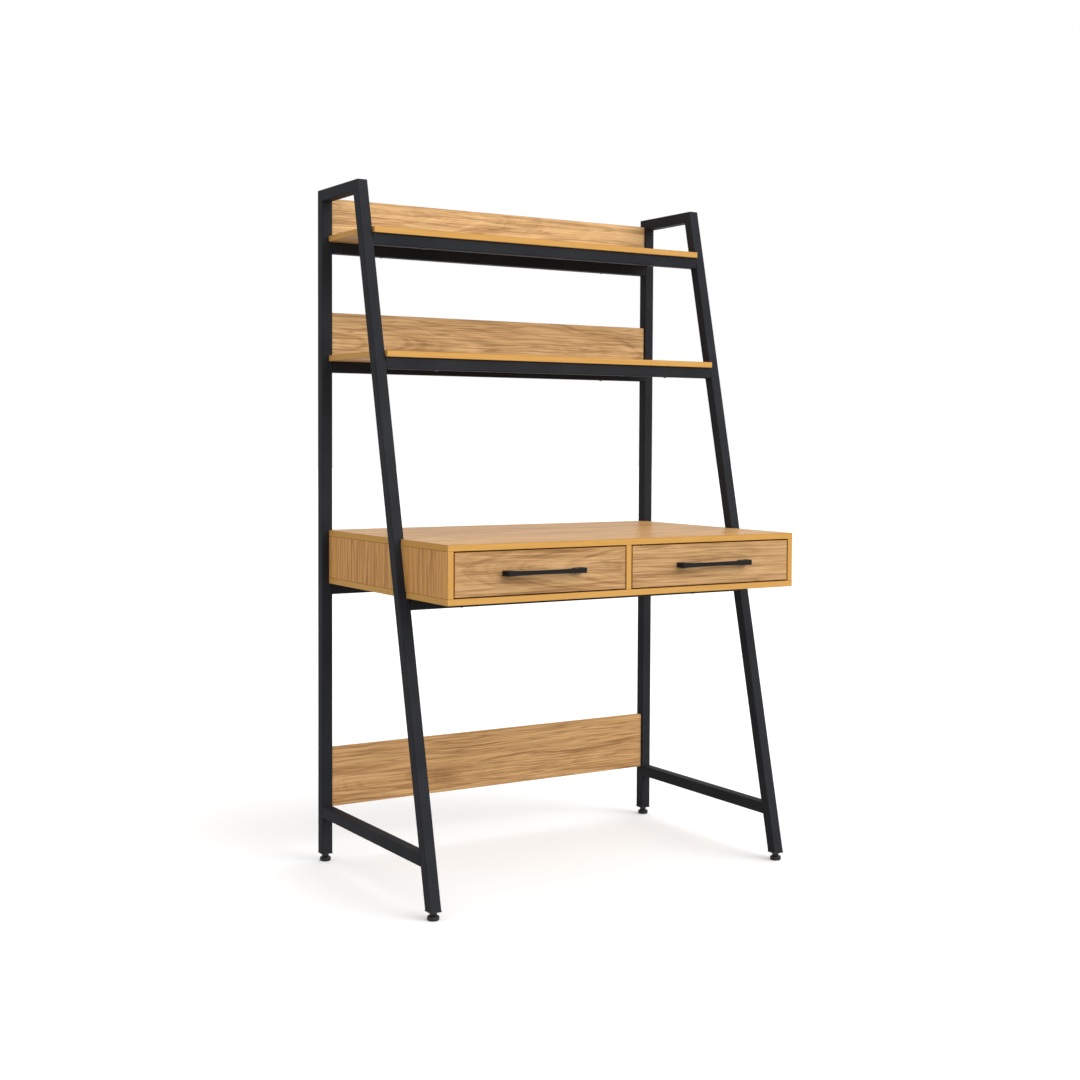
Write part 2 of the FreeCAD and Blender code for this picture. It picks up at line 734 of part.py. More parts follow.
CABINET_PROFILE = [
    ("0", RUNNER_HALF),
    ("Sizes.runner_depth", RUNNER_HALF),
    ("Sizes.runner_depth", LIP_HALF),
    (LIP_START, LIP_HALF),
    (LIP_START, RUNNER_INNER_HALF),
    ("Sizes.runner_steel", RUNNER_INNER_HALF),
]
SLIDE_PROFILE = [
    ("Sizes.runner_space", SLIDE_HALF),
    (SLIDE_START, SLIDE_HALF),
    (SLIDE_START, SLIDE_INNER_HALF),
    (SLIDE_WEB, SLIDE_INNER_HALF),
]
CAGE_PROFILE = [
    (CAGE_WEB, CAGE_HALF),
    (CAGE_END, CAGE_HALF),
    (CAGE_END, CAGE_INNER_HALF),
    (CAGE_WEB_INSIDE, CAGE_INNER_HALF),
]


def runner_member(label, side, hand, profile, length, back_y):
    """A rolled strip along y with the same profile above and below its middle."""
    body = new_body(label)
    lower = [(across, f"-{along}") for across, along in reversed(profile)]
    outline = [
        (f"{hand} * ({half_opening(side)} - {across})", f"({along} + {RUNNER_MIDDLE_Z})")
        for across, along in profile + lower
    ]
    sketch = new_sketch(body, "XZ_Plane", f"-({back_y})")
    add_polygon(sketch, outline)
    pad(body, sketch, length)
    place(body, x=drawer_x(side))
    return body


def add_ball(body, x, y, z):
    """A ball with flat sides, lofted along y through rings whose corners lie on its sphere."""
    radius = "(Sizes.ball_diameter / 2)"
    rings = []
    for n in range(BALL_SIDES // 2):
        latitude = f"(({n} + 1 / 2) * 360 deg / {BALL_SIDES} - 90 deg)"
        ring = new_sketch(body, "XZ_Plane", f"-({y} + {radius} * sin{latitude})")
        add_polygon(ring, regular_corners(f"({radius} * cos{latitude})", BALL_SIDES, x, z))
        rings.append(ring)
    return add_loft(body, rings, ruled=True)


def ball_cage(label, side, hand):
    """A cage strip with a row of balls in its upper and in its lower flange."""
    front_y = f"({RUNNER_FRONT_Y} + {DRAWER_TRAVEL} / 2 + Sizes.cage_clearance)"
    back_y = f"({front_y} + Sizes.cage_length)"
    body = runner_member(label, side, hand, CAGE_PROFILE, "Sizes.cage_length", back_y)
    row_length = f"({BALLS_PER_ROW - 1} * Sizes.ball_spacing)"
    first_y = f"({front_y} + (Sizes.cage_length - {row_length}) / 2)"
    ball_x = f"({hand} * ({half_opening(side)} - Sizes.runner_depth / 2))"
    for height in (BALL_HEIGHT, f"-{BALL_HEIGHT}"):
        ball = add_ball(body, ball_x, first_y, f"({height} + {RUNNER_MIDDLE_Z})")
        row = body.newObject("PartDesign::LinearPattern", f"{label}_row")
        row.Originals = [ball]
        row.Direction = (next(f for f in body.Origin.OriginFeatures if f.Role == "Y_Axis"), [""])
        row.Occurrences = BALLS_PER_ROW
        row.setExpression("Length", row_length)
        body.Tip = row
        doc.recompute()
    return body


def drawer_runners(name, side):
    """The cabinet members, the drawer members and the ball cages of one drawer."""
    cages = []
    for hand_name, hand in SIDES.items():
        cabinet = f"{name}_{hand_name}_cabinet_runner"
        slide = f"{name}_{hand_name}_slide_runner"
        keep(runner_member(cabinet, side, hand, CABINET_PROFILE, RUNNER_LENGTH, RUNNER_BACK_Y))
        keep(runner_member(slide, side, hand, SLIDE_PROFILE, RUNNER_LENGTH, RUNNER_BACK_Y))
        cages.append(ball_cage(f"{name}_{hand_name}_ball_cage", side, hand))
    group(f"{name}_ball_cages", cages)


# Handles and screws

def handle(label, x):
    """A bridge handle, waisted in front view, with a finger gap between its two feet."""
    body = new_body(label)
    half = "(Sizes.handle_length / 2)"
    sections = []
    for offset, height in (
        (f"-{half}", "Sizes.handle_end_height"),
        ("0", "Sizes.handle_middle_height"),
        (half, "Sizes.handle_end_height"),
    ):
        section = new_sketch(body, "YZ_Plane", offset)
        add_box(section, ("-Sizes.handle_projection", f"-{height} / 2"), ("0", f"{height} / 2"))
        sections.append(section)
    add_loft(body, sections)
    gap = new_sketch(body, "XY_Plane")
    gap_half = f"({half} - Sizes.handle_foot_length)"
    gap_front = "-(Sizes.handle_projection - Sizes.handle_bar_depth)"
    add_box(gap, (f"-{gap_half}", gap_front), (gap_half, "Sizes.cut_overrun"))
    cut(body, gap, "2 * Sizes.handle_end_height")
    soften(body, "Fillet", "Sizes.handle_corner", upright_ahead_of_seat)
    soften(body, "Chamfer", "Sizes.handle_edge", on_handle_front)
    holes = new_sketch(body, "XZ_Plane")
    add_screw_holes(holes, [(across, "0") for across in HANDLE_SCREW_X])
    cut(body, holes, "2 * (Sizes.screw_bite + Sizes.screw_hole_spare)")
    place(body, x=x, y=f"{CENTRE_Y} - Sizes.desk_depth", z=FRONT_MIDDLE_Z)
    return keep(body)


def upright_ahead_of_seat(edge):
    """True for an upright edge that stands ahead of the plane that a handle lies against."""
    upright = edge.BoundBox.ZLength > edge.BoundBox.XLength + edge.BoundBox.YLength
    return upright and edge.BoundBox.YMax < -size("handle_edge")


def on_handle_front(edge):
    """True for a long edge of a handle's front face."""
    half_projection = size("handle_projection") / 2
    long = edge.Length > size("handle_length") / LONG_EDGE_SHARE / LONG_EDGE_SHARE
    return long and edge.BoundBox.YMax < -size("handle_bar_depth") - half_projection / LONG_EDGE_SHARE


def prism(label, diameter, height):
    """A screw's head or shank, whose corners lie on its diameter."""
    solid = doc.addObject("Part::Prism", label)
    solid.Polygon = SCREW_SIDES
    solid.setExpression("Circumradius", f"{diameter} / 2")
    solid.setExpression("Height", height)
    return solid


def screw(label, length, x, y, z, turned=False):
    """A screw whose head lies against a face, pointing up or, turned, to the front."""
    head = prism(f"{label}_head", "Sizes.screw_head_diameter", "Sizes.screw_head_height")
    head.setExpression("Placement.Base.z", "-Sizes.screw_head_height")
    shank = prism(f"{label}_shank", "Sizes.screw_diameter", length)
    whole = doc.addObject("Part::Fuse", label)
    whole.Base = head
    whole.Tool = shank
    if turned:
        whole.Placement.Rotation = FreeCAD.Rotation(FreeCAD.Vector(1, 0, 0), 90)
    place(whole, x=x, y=f"{CENTRE_Y} + {y}", z=z)
    return whole


def rail_screws(label, under, row_y, length):
    """The screws of one rail, up through it into the board above."""
    low = f"({under} - Sizes.tube_size)"
    return [screw(f"{label}_{n}", length, x, row_y, low) for n, x in enumerate(RAIL_SCREW_X)]


SHORT_SCREW = "Sizes.tube_size + Sizes.screw_bite"
REBATED_BOARD = "(Sizes.board_thickness - Sizes.upstand_rebate)"
LONG_SCREW = f"Sizes.tube_size + {REBATED_BOARD} + Sizes.upstand_screw_bite"

shelf_screws = []
for shelf_name in ("upper_shelf", "lower_shelf"):
    under = BOARD_LEVELS[shelf_name]
    front_row, rear_row = rail_screw_rows(under)
    shelf_screws += rail_screws(f"{shelf_name}_front_screw", under, front_row, SHORT_SCREW)
    shelf_screws += rail_screws(f"{shelf_name}_rear_screw", under, rear_row, LONG_SCREW)
group("shelf_screws", shelf_screws)

desk_screws = []
for row_name, row_y in zip(("front", "rear"), rail_screw_rows(DESK_UNDER)):
    desk_screws += rail_screws(f"desk_{row_name}_screw", DESK_UNDER, row_y, SHORT_SCREW)
group("desk_screws", desk_screws)

for side_name, side in SIDES.items():
    name = f"{side_name}_drawer"
    x = drawer_x(side)
    drawer_box(name, side)
    drawer_runners(name, side)
    handle(f"{name}_handle", x)
    group(
        f"{name}_handle_screws",
        [
            screw(
                f"{name}_handle_screw_{n}",
                "Sizes.board_thickness + Sizes.screw_bite",
                f"{x} + {across}",
                DRAWER_FRONT_BACK_Y,
                FRONT_MIDDLE_Z,
                turned=True,
            )
            for n, across in enumerate(HANDLE_SCREW_X)
        ],
    )


# Tabs welded to the rear posts, which hold the stretcher from behind

def stretcher_tab(side_name, side):
    """A drilled steel plate against the inner face of a rear post."""
    body = new_body(f"{side_name}_stretcher_tab")
    sketch = new_sketch(body, "XZ_Plane", "Sizes.board_inset - Sizes.tab_steel")
    outer = f"{side} * {HALF_GAP}"
    inner = f"{side} * ({HALF_GAP} - Sizes.tab_width)"
    low = f"({STRETCHER_MIDDLE} - Sizes.tab_height / 2)"
    high = f"({STRETCHER_MIDDLE} + Sizes.tab_height / 2)"
    add_box(sketch, (inner, low), (outer, high))
    pad(body, sketch, "Sizes.tab_steel")
    holes = new_sketch(body, "XZ_Plane", "Sizes.board_inset")
    add_screw_holes(holes, [(f"{side} * {TAB_SCREW_X}", z) for z in TAB_SCREW_Z])
    cut(body, holes, "2 * (Sizes.tab_steel + Sizes.cut_overrun)")
    place(body)
    return body


group("stretcher_tabs", [stretcher_tab(side_name, side) for side_name, side in SIDES.items()])
group(
    "stretcher_screws",
    [
        screw(
            f"{side_name}_stretcher_screw_{n}",
            "Sizes.tab_steel + Sizes.screw_bite",
            f"{side} * {TAB_SCREW_X}",
            "(Sizes.tab_steel - Sizes.board_inset)",
            z,
            turned=True,
        )
        for side_name, side in SIDES.items()
        for n, z in enumerate(TAB_SCREW_Z)
    ],
)


# Levelling feet and the threaded inserts in the ends of the posts

def post_insert(label, side, front_y, back_y, middle_y):
    """A plug that follows the inside of a post's end, with a flange below and an upright bore."""
    body = new_body(label)
    flange_low = "(Sizes.foot_height - Sizes.insert_flange)"
    plug_high = "(Sizes.foot_height + Sizes.insert_depth)"
    flange = new_sketch(body, "YZ_Plane")
    add_box(flange, (front_y(FOOT, "0"), flange_low), (back_y(FOOT, "0"), FOOT))
    pad(body, flange, "Sizes.tube_size", symmetric=True)
    plug = new_sketch(body, "YZ_Plane")
    add_polygon(
        plug,
        [
            (front_y(FOOT, INSERT_INSET), FOOT),
            (front_y(plug_high, INSERT_INSET), plug_high),
            (back_y(plug_high, INSERT_INSET), plug_high),
            (back_y(FOOT, INSERT_INSET), FOOT),
        ],
    )
    pad(body, plug, f"Sizes.tube_size - 2 * {INSERT_INSET}", symmetric=True)
    bore = new_sketch(body, "XY_Plane", FOOT)
    add_circle(bore, "0", middle_y, "Sizes.foot_stem_diameter + Sizes.foot_stem_clearance")
    cut(body, bore, "2 * (Sizes.insert_depth + Sizes.cut_overrun)")
    place(body, x=f"{side} * (Sizes.frame_width - Sizes.tube_size) / 2")
    return body


def rear_insert(side_name, side):
    """The insert of an upright rear post."""
    return post_insert(
        f"{side_name}_rear_insert",
        side,
        lambda height, inset: f"(-Sizes.tube_size + {inset})",
        lambda height, inset: f"-{inset}",
        REAR_FOOT_Y,
    )


def front_insert(side_name, side):
    """The insert of a leaning front post."""
    return post_insert(
        f"{side_name}_front_insert",
        side,
        lambda height, inset: leaning_y(height, f"{inset} * {SLANT}"),
        lambda height, inset: leaning_y(height, f"({POST_DEPTH} - {inset} * {SLANT})"),
        FRONT_FOOT_Y,
    )


def levelling_foot(label, side, y):
    """A round pad with a hexagon to turn it by and a threaded stem."""
    body = new_body(label)
    disc = new_sketch(body, "XY_Plane")
    add_polygon(disc, regular_corners("Sizes.foot_pad_diameter / 2", FOOT_SIDES))
    pad(body, disc, "Sizes.foot_pad_height")
    soften(body, "Chamfer", "Sizes.foot_pad_edge", level)
    nut = new_sketch(body, "XY_Plane", "Sizes.foot_pad_height")
    corner_radius = f"(Sizes.foot_nut_width / 2 / cos(180 deg / {NUT_SIDES}))"
    add_polygon(nut, regular_corners(corner_radius, NUT_SIDES))
    pad(body, nut, "Sizes.foot_nut_height")
    stem = new_sketch(body, "XY_Plane", "Sizes.foot_pad_height + Sizes.foot_nut_height")
    add_polygon(stem, regular_corners("Sizes.foot_stem_diameter / 2", FOOT_SIDES))
    stem_top = "Sizes.foot_height + Sizes.foot_stem_rise"
    pad(body, stem, f"{stem_top} - Sizes.foot_pad_height - Sizes.foot_nut_height")
    place(body, x=f"{side} * (Sizes.frame_width - Sizes.tube_size) / 2", y=f"{CENTRE_Y} + {y}")
    return keep(body)


group("rear_post_inserts", [rear_insert(side_name, side) for side_name, side in SIDES.items()])
group("front_post_inserts", [front_insert(side_name, side) for side_name, side in SIDES.items()])
for side_name, side in SIDES.items():
    levelling_foot(f"{side_name}_rear_foot", side, REAR_FOOT_Y)
    levelling_foot(f"{side_name}_front_foot", side, FRONT_FOOT_Y)


# Checks, then one file for each sub-part

doc.recompute()
for thing in doc.Objects:
    if "Invalid" in thing.State or "Error" in thing.State:
        raise RuntimeError(f"{thing.Label} did not build: {thing.State}")
for thing in sub_parts:
    if thing.Shape.isNull() or not thing.Shape.isValid():
        raise RuntimeError(f"{thing.Label} has no valid shape")

os.makedirs("parts", exist_ok=True)
for thing in sub_parts:
    thing.Shape.exportStep(f"parts/{thing.Label}.step")
print(f"{len(sub_parts)} sub-parts written")
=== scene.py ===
"""Looks of a ladder desk with two shelves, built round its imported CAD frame.

Lengths are in metres and angles in degrees unless a name says otherwise. The front of the desk faces -Y.
"""
from __future__ import annotations

import logging
import math
from dataclasses import dataclass
from enum import Enum

import bmesh
import bpy
import numpy as np
from mathutils import Euler, Matrix, Vector


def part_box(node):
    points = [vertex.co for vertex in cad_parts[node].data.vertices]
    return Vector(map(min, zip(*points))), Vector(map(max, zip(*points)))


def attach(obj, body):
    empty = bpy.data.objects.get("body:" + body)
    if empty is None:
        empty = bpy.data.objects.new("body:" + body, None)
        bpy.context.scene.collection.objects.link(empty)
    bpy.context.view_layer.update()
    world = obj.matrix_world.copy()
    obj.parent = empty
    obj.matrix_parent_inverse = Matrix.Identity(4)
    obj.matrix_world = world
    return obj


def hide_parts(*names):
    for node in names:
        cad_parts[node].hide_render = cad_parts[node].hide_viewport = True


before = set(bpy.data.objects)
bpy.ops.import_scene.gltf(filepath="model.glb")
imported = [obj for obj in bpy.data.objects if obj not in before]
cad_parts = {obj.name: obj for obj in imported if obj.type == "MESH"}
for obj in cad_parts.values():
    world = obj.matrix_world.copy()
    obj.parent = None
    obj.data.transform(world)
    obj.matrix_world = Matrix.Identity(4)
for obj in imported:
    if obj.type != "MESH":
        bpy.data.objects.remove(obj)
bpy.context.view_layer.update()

LOG = logging.getLogger("ladder_desk")

Span = tuple[float, float]
Point = tuple[float, float, float]
Shade = tuple[float, float, float, float]
Socket = bpy.types.NodeSocket
STILL: Point = (0.0, 0.0, 0.0)
EVEN: Point = (1.0, 1.0, 1.0)
QUARTER_TURN = 90.0
HALF_TURN = 180.0


class Axis(Enum):
    """A direction of the desk."""

    X = 0
    Y = 1
    Z = 2


class Side(Enum):
    """A side of the desk, with the sign of its x."""

    LEFT = -1
    RIGHT = 1

    @property
    def word(self) -> str:
        """The side's name as the nodes spell it."""
        return self.name.lower()


# Colours

LINEAR_LIMIT = 0.04045
LINEAR_SLOPE = 12.92
CURVE_OFFSET = 0.055
CURVE_POWER = 2.4
FULL_CHANNEL = 255.0


def colour(red: int, green: int, blue: int) -> Shade:
    """Turns a screen colour into the linear one that a shader takes.

    Args:
        red: red from 0 to 255.
        green: green from 0 to 255.
        blue: blue from 0 to 255.

    Returns:
        The linear colour with full alpha.
    """
    channels = np.array([red, green, blue]) / FULL_CHANNEL
    curve = ((channels + CURVE_OFFSET) / (1 + CURVE_OFFSET)) ** CURVE_POWER
    linear = np.where(channels <= LINEAR_LIMIT, channels / LINEAR_SLOPE, curve)
    return (*linear.tolist(), 1.0)


OAK_LIGHT = colour(217, 174, 121)
OAK_MIDDLE = colour(196, 152, 102)
OAK_DARK = colour(165, 121, 76)
OAK_STREAK = colour(112, 77, 45)
BAND_LIGHT = colour(208, 159, 88)
BAND_DARK = colour(194, 144, 74)
BAND_JOINT = colour(150, 105, 52)
PALE_LIGHT = colour(226, 203, 168)
PALE_DARK = colour(207, 180, 142)
COAT_LIGHT = colour(46, 47, 50)
COAT_DARK = colour(38, 39, 42)
HANDLE_LIGHT = colour(27, 27, 29)
HANDLE_DARK = colour(20, 20, 22)
ZINC_LIGHT = colour(200, 202, 206)
ZINC_DARK = colour(172, 174, 179)
BALL_LIGHT = colour(214, 215, 218)
BALL_DARK = colour(188, 189, 193)
SCREW_LIGHT = colour(92, 92, 95)
SCREW_DARK = colour(72, 72, 75)
PLASTIC_LIGHT = colour(33, 33, 33)
PLASTIC_DARK = colour(25, 25, 25)
FLOOR_WHITE = colour(250, 250, 250)
FLOOR_BOUNCE = colour(178, 178, 178)
WHITE = colour(255, 255, 255)


# Materials

@dataclass(frozen=True)
class Cloud:
    """Noise: how often it repeats in a metre along each axis, its finer layers and their strength."""

    stretch: Point
    detail: float = 3.0
    strength: float = 0.55


class Sheet:
    """A material's nodes, with short ways to add and join them."""

    def __init__(self, name: str) -> None:
        """Starts a material that holds one shader and its output.

        Args:
            name: the material's name.
        """
        self.material = bpy.data.materials.new(name)
        self.material.use_nodes = True
        self.nodes = self.material.node_tree.nodes
        self.links = self.material.node_tree.links
        self.nodes.clear()
        self.shader = self.nodes.new("ShaderNodeBsdfPrincipled")
        output = self.nodes.new("ShaderNodeOutputMaterial")
        self.links.new(self.shader.outputs["BSDF"], output.inputs["Surface"])

    def feed(self, targets: list[Socket], values: list[object]) -> None:
        """Sets or links inputs in order.

        Args:
            targets: the inputs.
            values: for each input, a socket to link or a value to set.
        """
        for target, value in zip(targets, values):
            if isinstance(value, Socket):
                self.links.new(value, target)
            else:
                target.default_value = value

    def surface(self, **values: object) -> None:
        """Sets or links the shader's inputs by name, with an underscore for each space."""
        for name, value in values.items():
            self.feed([self.shader.inputs[name.replace("_", " ")]], [value])

    def place(self, output: str) -> Socket:
        """The place or the direction of the surface on its own object."""
        return self.nodes.new("ShaderNodeTexCoord").outputs[output]

    def split(self, vector: Socket) -> list[Socket]:
        """Splits a vector.

        Args:
            vector: the vector.

        Returns:
            Its parts along x, y and z.
        """
        node = self.nodes.new("ShaderNodeSeparateXYZ")
        self.links.new(vector, node.inputs[0])
        return list(node.outputs)

    def join(self, *parts: object) -> Socket:
        """Joins numbers into a vector.

        Args:
            parts: up to three numbers or sockets.

        Returns:
            The vector, with 0 for each part that isn't given.
        """
        node = self.nodes.new("ShaderNodeCombineXYZ")
        self.feed(list(node.inputs), list(parts))
        return node.outputs[0]

    def mapped(self, vector: Socket, move: Point = STILL, stretch: Point = EVEN) -> Socket:
        """Stretches and then moves a pattern.

        Args:
            vector: the place to start from.
            move: how far the pattern is moved.
            stretch: how often it repeats along each axis.

        Returns:
            The changed place.
        """
        node = self.nodes.new("ShaderNodeMapping")
        self.feed([node.inputs[name] for name in ("Vector", "Location", "Scale")], [vector, move, stretch])
        return node.outputs["Vector"]

    def noise(self, vector: Socket, cloud: Cloud, move: Point = STILL) -> Socket:
        """Cloudy noise from 0 to 1.

        Args:
            vector: the place.
            cloud: the kind of noise.
            move: how far it is moved, in its own repeats.

        Returns:
            The noise.
        """
        node = self.nodes.new("ShaderNodeTexNoise")
        inputs = [node.inputs[name] for name in ("Vector", "Scale", "Detail", "Roughness")]
        self.feed(inputs, [self.mapped(vector, move, cloud.stretch), 1.0, cloud.detail, cloud.strength])
        return node.outputs[0]

    def ramp(self, factor: Socket, stops: dict[float, Shade]) -> Socket:
        """Turns a number into a colour.

        Args:
            factor: the number, from 0 to 1.
            stops: the colour at each place from 0 to 1.

        Returns:
            The colour.
        """
        node = self.nodes.new("ShaderNodeValToRGB")
        elements = node.color_ramp.elements
        while len(elements) < len(stops):
            elements.new(1.0)
        for element, (place, shade) in zip(elements, stops.items()):
            element.position = place
            element.color = shade
        self.links.new(factor, node.inputs["Fac"])
        return node.outputs["Color"]

    def span(self, factor: Socket, source: Span, target: Span) -> Socket:
        """Carries a number from one span to another, and holds it within that.

        Args:
            factor: the number.
            source: the first span.
            target: the second span.

        Returns:
            The carried number.
        """
        node = self.nodes.new("ShaderNodeMapRange")
        names = ("Value", "From Min", "From Max", "To Min", "To Max")
        self.feed([node.inputs[name] for name in names], [factor, *source, *target])
        return node.outputs["Result"]

    def mix(self, factor: Socket, first: object, last: object) -> Socket:
        """Mixes two colours.

        Args:
            factor: 0 for the first colour, 1 for the last.
            first: a colour or a socket.
            last: a colour or a socket.

        Returns:
            The mixed colour.
        """
        node = self.nodes.new("ShaderNodeMix")
        node.data_type = "RGBA"
        colours = [socket for socket in node.inputs if socket.type == "RGBA"]
        self.feed([node.inputs[0], *colours], [factor, first, last])
        return next(socket for socket in node.outputs if socket.type == "RGBA")

    def reckon(self, operation: str, *values: object) -> Socket:
        """Works out a number from others.

        Args:
            operation: the name of the sum.
            values: numbers or sockets.

        Returns:
            The result.
        """
        node = self.nodes.new("ShaderNodeMath")
        node.operation = operation
        self.feed(list(node.inputs), list(values))
        return node.outputs[0]

    def bump(self, height: Socket, depth: float) -> None:
        """Raises the surface.

        Args:
            height: the pattern, from 0 to 1.
            depth: how far 1 stands above 0.
        """
        node = self.nodes.new("ShaderNodeBump")
        self.feed([node.inputs["Height"], node.inputs["Distance"]], [height, depth])
        self.surface(Normal=node.outputs["Normal"])


@dataclass(frozen=True)
class OakFinish:
    """A board with oak on its two faces and a plain band round its edges, with a dark line between them.

    The grain is cut from a log. Its heart runs along the board at a slant, so the growth rings, which
    are noise over the distance from the heart, show as long arches that close where the heart is near.
    Straight streaks, thin dark veins and fine fibres run along them.
    """

    node: str
    grain: Axis
    face: Axis
    cut: int
    # Per channel, how much lighter or darker the wood is painted for the light and shade on this board.
    tone: Point = EVEN
    roughness: float = 0.5
    gloss: float = 0.08
    log_step: float = 1.37
    heart_depth: float = 0.07
    heart_reach: float = 0.03
    heart_slant: float = 0.1
    sway: float = 0.009
    swaying: Cloud = Cloud((3.4, 11.0, 11.0))
    rings: Cloud = Cloud((3.0, 150.0, 1.0), detail=5.0, strength=0.7)
    streaks: Cloud = Cloud((3.6, 170.0, 170.0), detail=5.0, strength=0.72)
    streak_share: float = 0.5
    line_levels: tuple[float, ...] = (0.36, 0.44, 0.5, 0.6)
    calm_range: Span = (0.3, 0.7)
    patches: Cloud = Cloud((2.2, 26.0, 1.0))
    patch_range: Span = (0.35, 0.6)
    patch_shares: Span = (0.3, 0.85)
    veins: Cloud = Cloud((3.2, 105.0, 1.0), detail=2.0, strength=0.5)
    vein_level: float = 0.5
    vein_width: float = 0.05
    vein_strength: float = 0.52
    fibres: Cloud = Cloud((9.0, 420.0, 420.0), detail=2.0, strength=0.6)
    fibre_range: Span = (0.25, 0.75)
    pore_range: Span = (0.28, 0.46)
    pore_strength: float = 0.6
    pore_depth: float = 0.0001
    face_limit: float = 0.85
    joint_limit: float = 0.4
    roughness_spread: float = 0.05

    def material(self) -> bpy.types.Material:
        """Makes the board's material.

        Returns:
            The material.
        """
        sheet = Sheet(f"oak_{self.node}")
        low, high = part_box(self.node)
        parts = sheet.split(sheet.mapped(sheet.place("Object"), tuple(-(low + high) / 2)))
        across = next(axis for axis in Axis if axis not in (self.grain, self.face))
        along, beside, under = (parts[axis.value] for axis in (self.grain, across, self.face))
        board = sheet.join(along, beside, under)
        seed = (0.0, 0.0, self.cut * self.log_step)
        fibre = sheet.noise(board, self.fibres, seed)
        wood = self.figure(sheet, board, fibre, seed)
        band = sheet.ramp(fibre, dict(zip(self.fibre_range, (BAND_DARK, BAND_LIGHT))))
        facing = sheet.reckon("ABSOLUTE", sheet.split(sheet.place("Normal"))[self.face.value])
        on_face = sheet.reckon("GREATER_THAN", facing, self.face_limit)
        on_joint = sheet.reckon("GREATER_THAN", facing, self.joint_limit)
        edge = sheet.mix(on_joint, band, BAND_JOINT)
        polish = (self.roughness + self.roughness_spread, self.roughness - self.roughness_spread)
        sheet.surface(
            Base_Color=sheet.mix(on_face, edge, wood),
            Roughness=sheet.span(fibre, self.fibre_range, polish),
            Specular_IOR_Level=self.gloss,
        )
        sheet.bump(sheet.reckon("MULTIPLY", fibre, on_face), self.pore_depth)
        return sheet.material

    def figure(self, sheet: Sheet, board: Socket, fibre: Socket, seed: Point) -> Socket:
        """Draws the rings, the streaks, the broad patches, the veins and the fibres of the wood.

        A vein runs where its noise crosses the vein's level, and fades out within the vein's width.

        Args:
            sheet: the material.
            board: the place on the board: along the grain, across it and into the board.
            fibre: fine noise along the grain.
            seed: which stretch of the log the board is cut from.

        Returns:
            The colour.
        """
        along, beside, under = sheet.split(board)
        bend = sheet.span(sheet.noise(board, self.swaying, seed), (0.0, 1.0), (-self.sway, self.sway))
        heart = self.heart_reach * math.sin(self.cut * self.log_step)
        slant = self.heart_slant * math.cos(self.cut * self.log_step)
        beside = sheet.reckon("ADD", sheet.reckon("ADD", beside, bend), heart)
        sloping = sheet.reckon("MULTIPLY_ADD", along, slant, self.heart_depth)
        under = sheet.reckon("ADD", sheet.reckon("ADD", under, sloping), bend)
        squares = [sheet.reckon("MULTIPLY", part, part) for part in (beside, under)]
        radius = sheet.reckon("SQRT", sheet.reckon("ADD", *squares))
        log = sheet.join(along, radius)
        ring = sheet.noise(log, self.rings, seed)
        plank = sheet.join(along, beside)
        straight = sheet.noise(plank, self.streaks, seed)
        figure = sheet.reckon("MULTIPLY", sheet.reckon("ADD", ring, straight), self.streak_share)
        patch = sheet.noise(log, self.patches, seed)
        shades = [self.toned(shade) for shade in (OAK_STREAK, OAK_DARK, OAK_MIDDLE, OAK_LIGHT)]
        streak, dark, middle, light = shades
        lines = sheet.ramp(figure, dict(zip(self.line_levels, shades)))
        calm = sheet.ramp(fibre, dict(zip(self.calm_range, (middle, light))))
        wood = sheet.mix(sheet.span(patch, self.patch_range, self.patch_shares), calm, lines)
        off_vein = sheet.reckon("SUBTRACT", sheet.noise(plank, self.veins, seed), self.vein_level)
        near_vein = sheet.reckon("ABSOLUTE", off_vein)
        vein = sheet.span(near_vein, (0.0, self.vein_width), (self.vein_strength, 0.0))
        veined = sheet.mix(vein, wood, streak)
        pore = sheet.span(fibre, self.pore_range, (self.pore_strength, 0.0))
        return sheet.mix(pore, veined, dark)

    def toned(self, shade: Shade) -> Shade:
        """A colour of the wood, each channel painted lighter or darker by the light and shade on the board.
        """
        return (*(share * channel for share, channel in zip(self.tone, shade)), 1.0)


@dataclass(frozen=True)
class MottledFinish:
    """A coat, metal or plastic: two close shades in soft clouds over a fine raised grain."""

    name: str
    light: Shade
    dark: Shade
    roughness: float
    gloss: float = 0.5
    metal: float = 0.0
    clouds: Cloud = Cloud((9.0, 9.0, 9.0))
    grain: Cloud = Cloud((900.0, 900.0, 900.0), detail=2.0)
    noise_range: Span = (0.3, 0.7)
    grain_depth: float = 0.00003
    roughness_spread: float = 0.06

    def material(self) -> bpy.types.Material:
        """Makes the material.

        Returns:
            The material.
        """
        sheet = Sheet(self.name)
        place = sheet.place("Object")
        grain = sheet.noise(place, self.grain)
        clouds = sheet.noise(place, self.clouds)
        polish = (self.roughness - self.roughness_spread, self.roughness + self.roughness_spread)
        sheet.surface(
            Base_Color=sheet.ramp(clouds, dict(zip(self.noise_range, (self.dark, self.light)))),
            Roughness=sheet.span(grain, self.noise_range, polish),
            Specular_IOR_Level=self.gloss,
            Metallic=self.metal,
        )
        sheet.bump(grain, self.grain_depth)
        return sheet.material


# Meshes

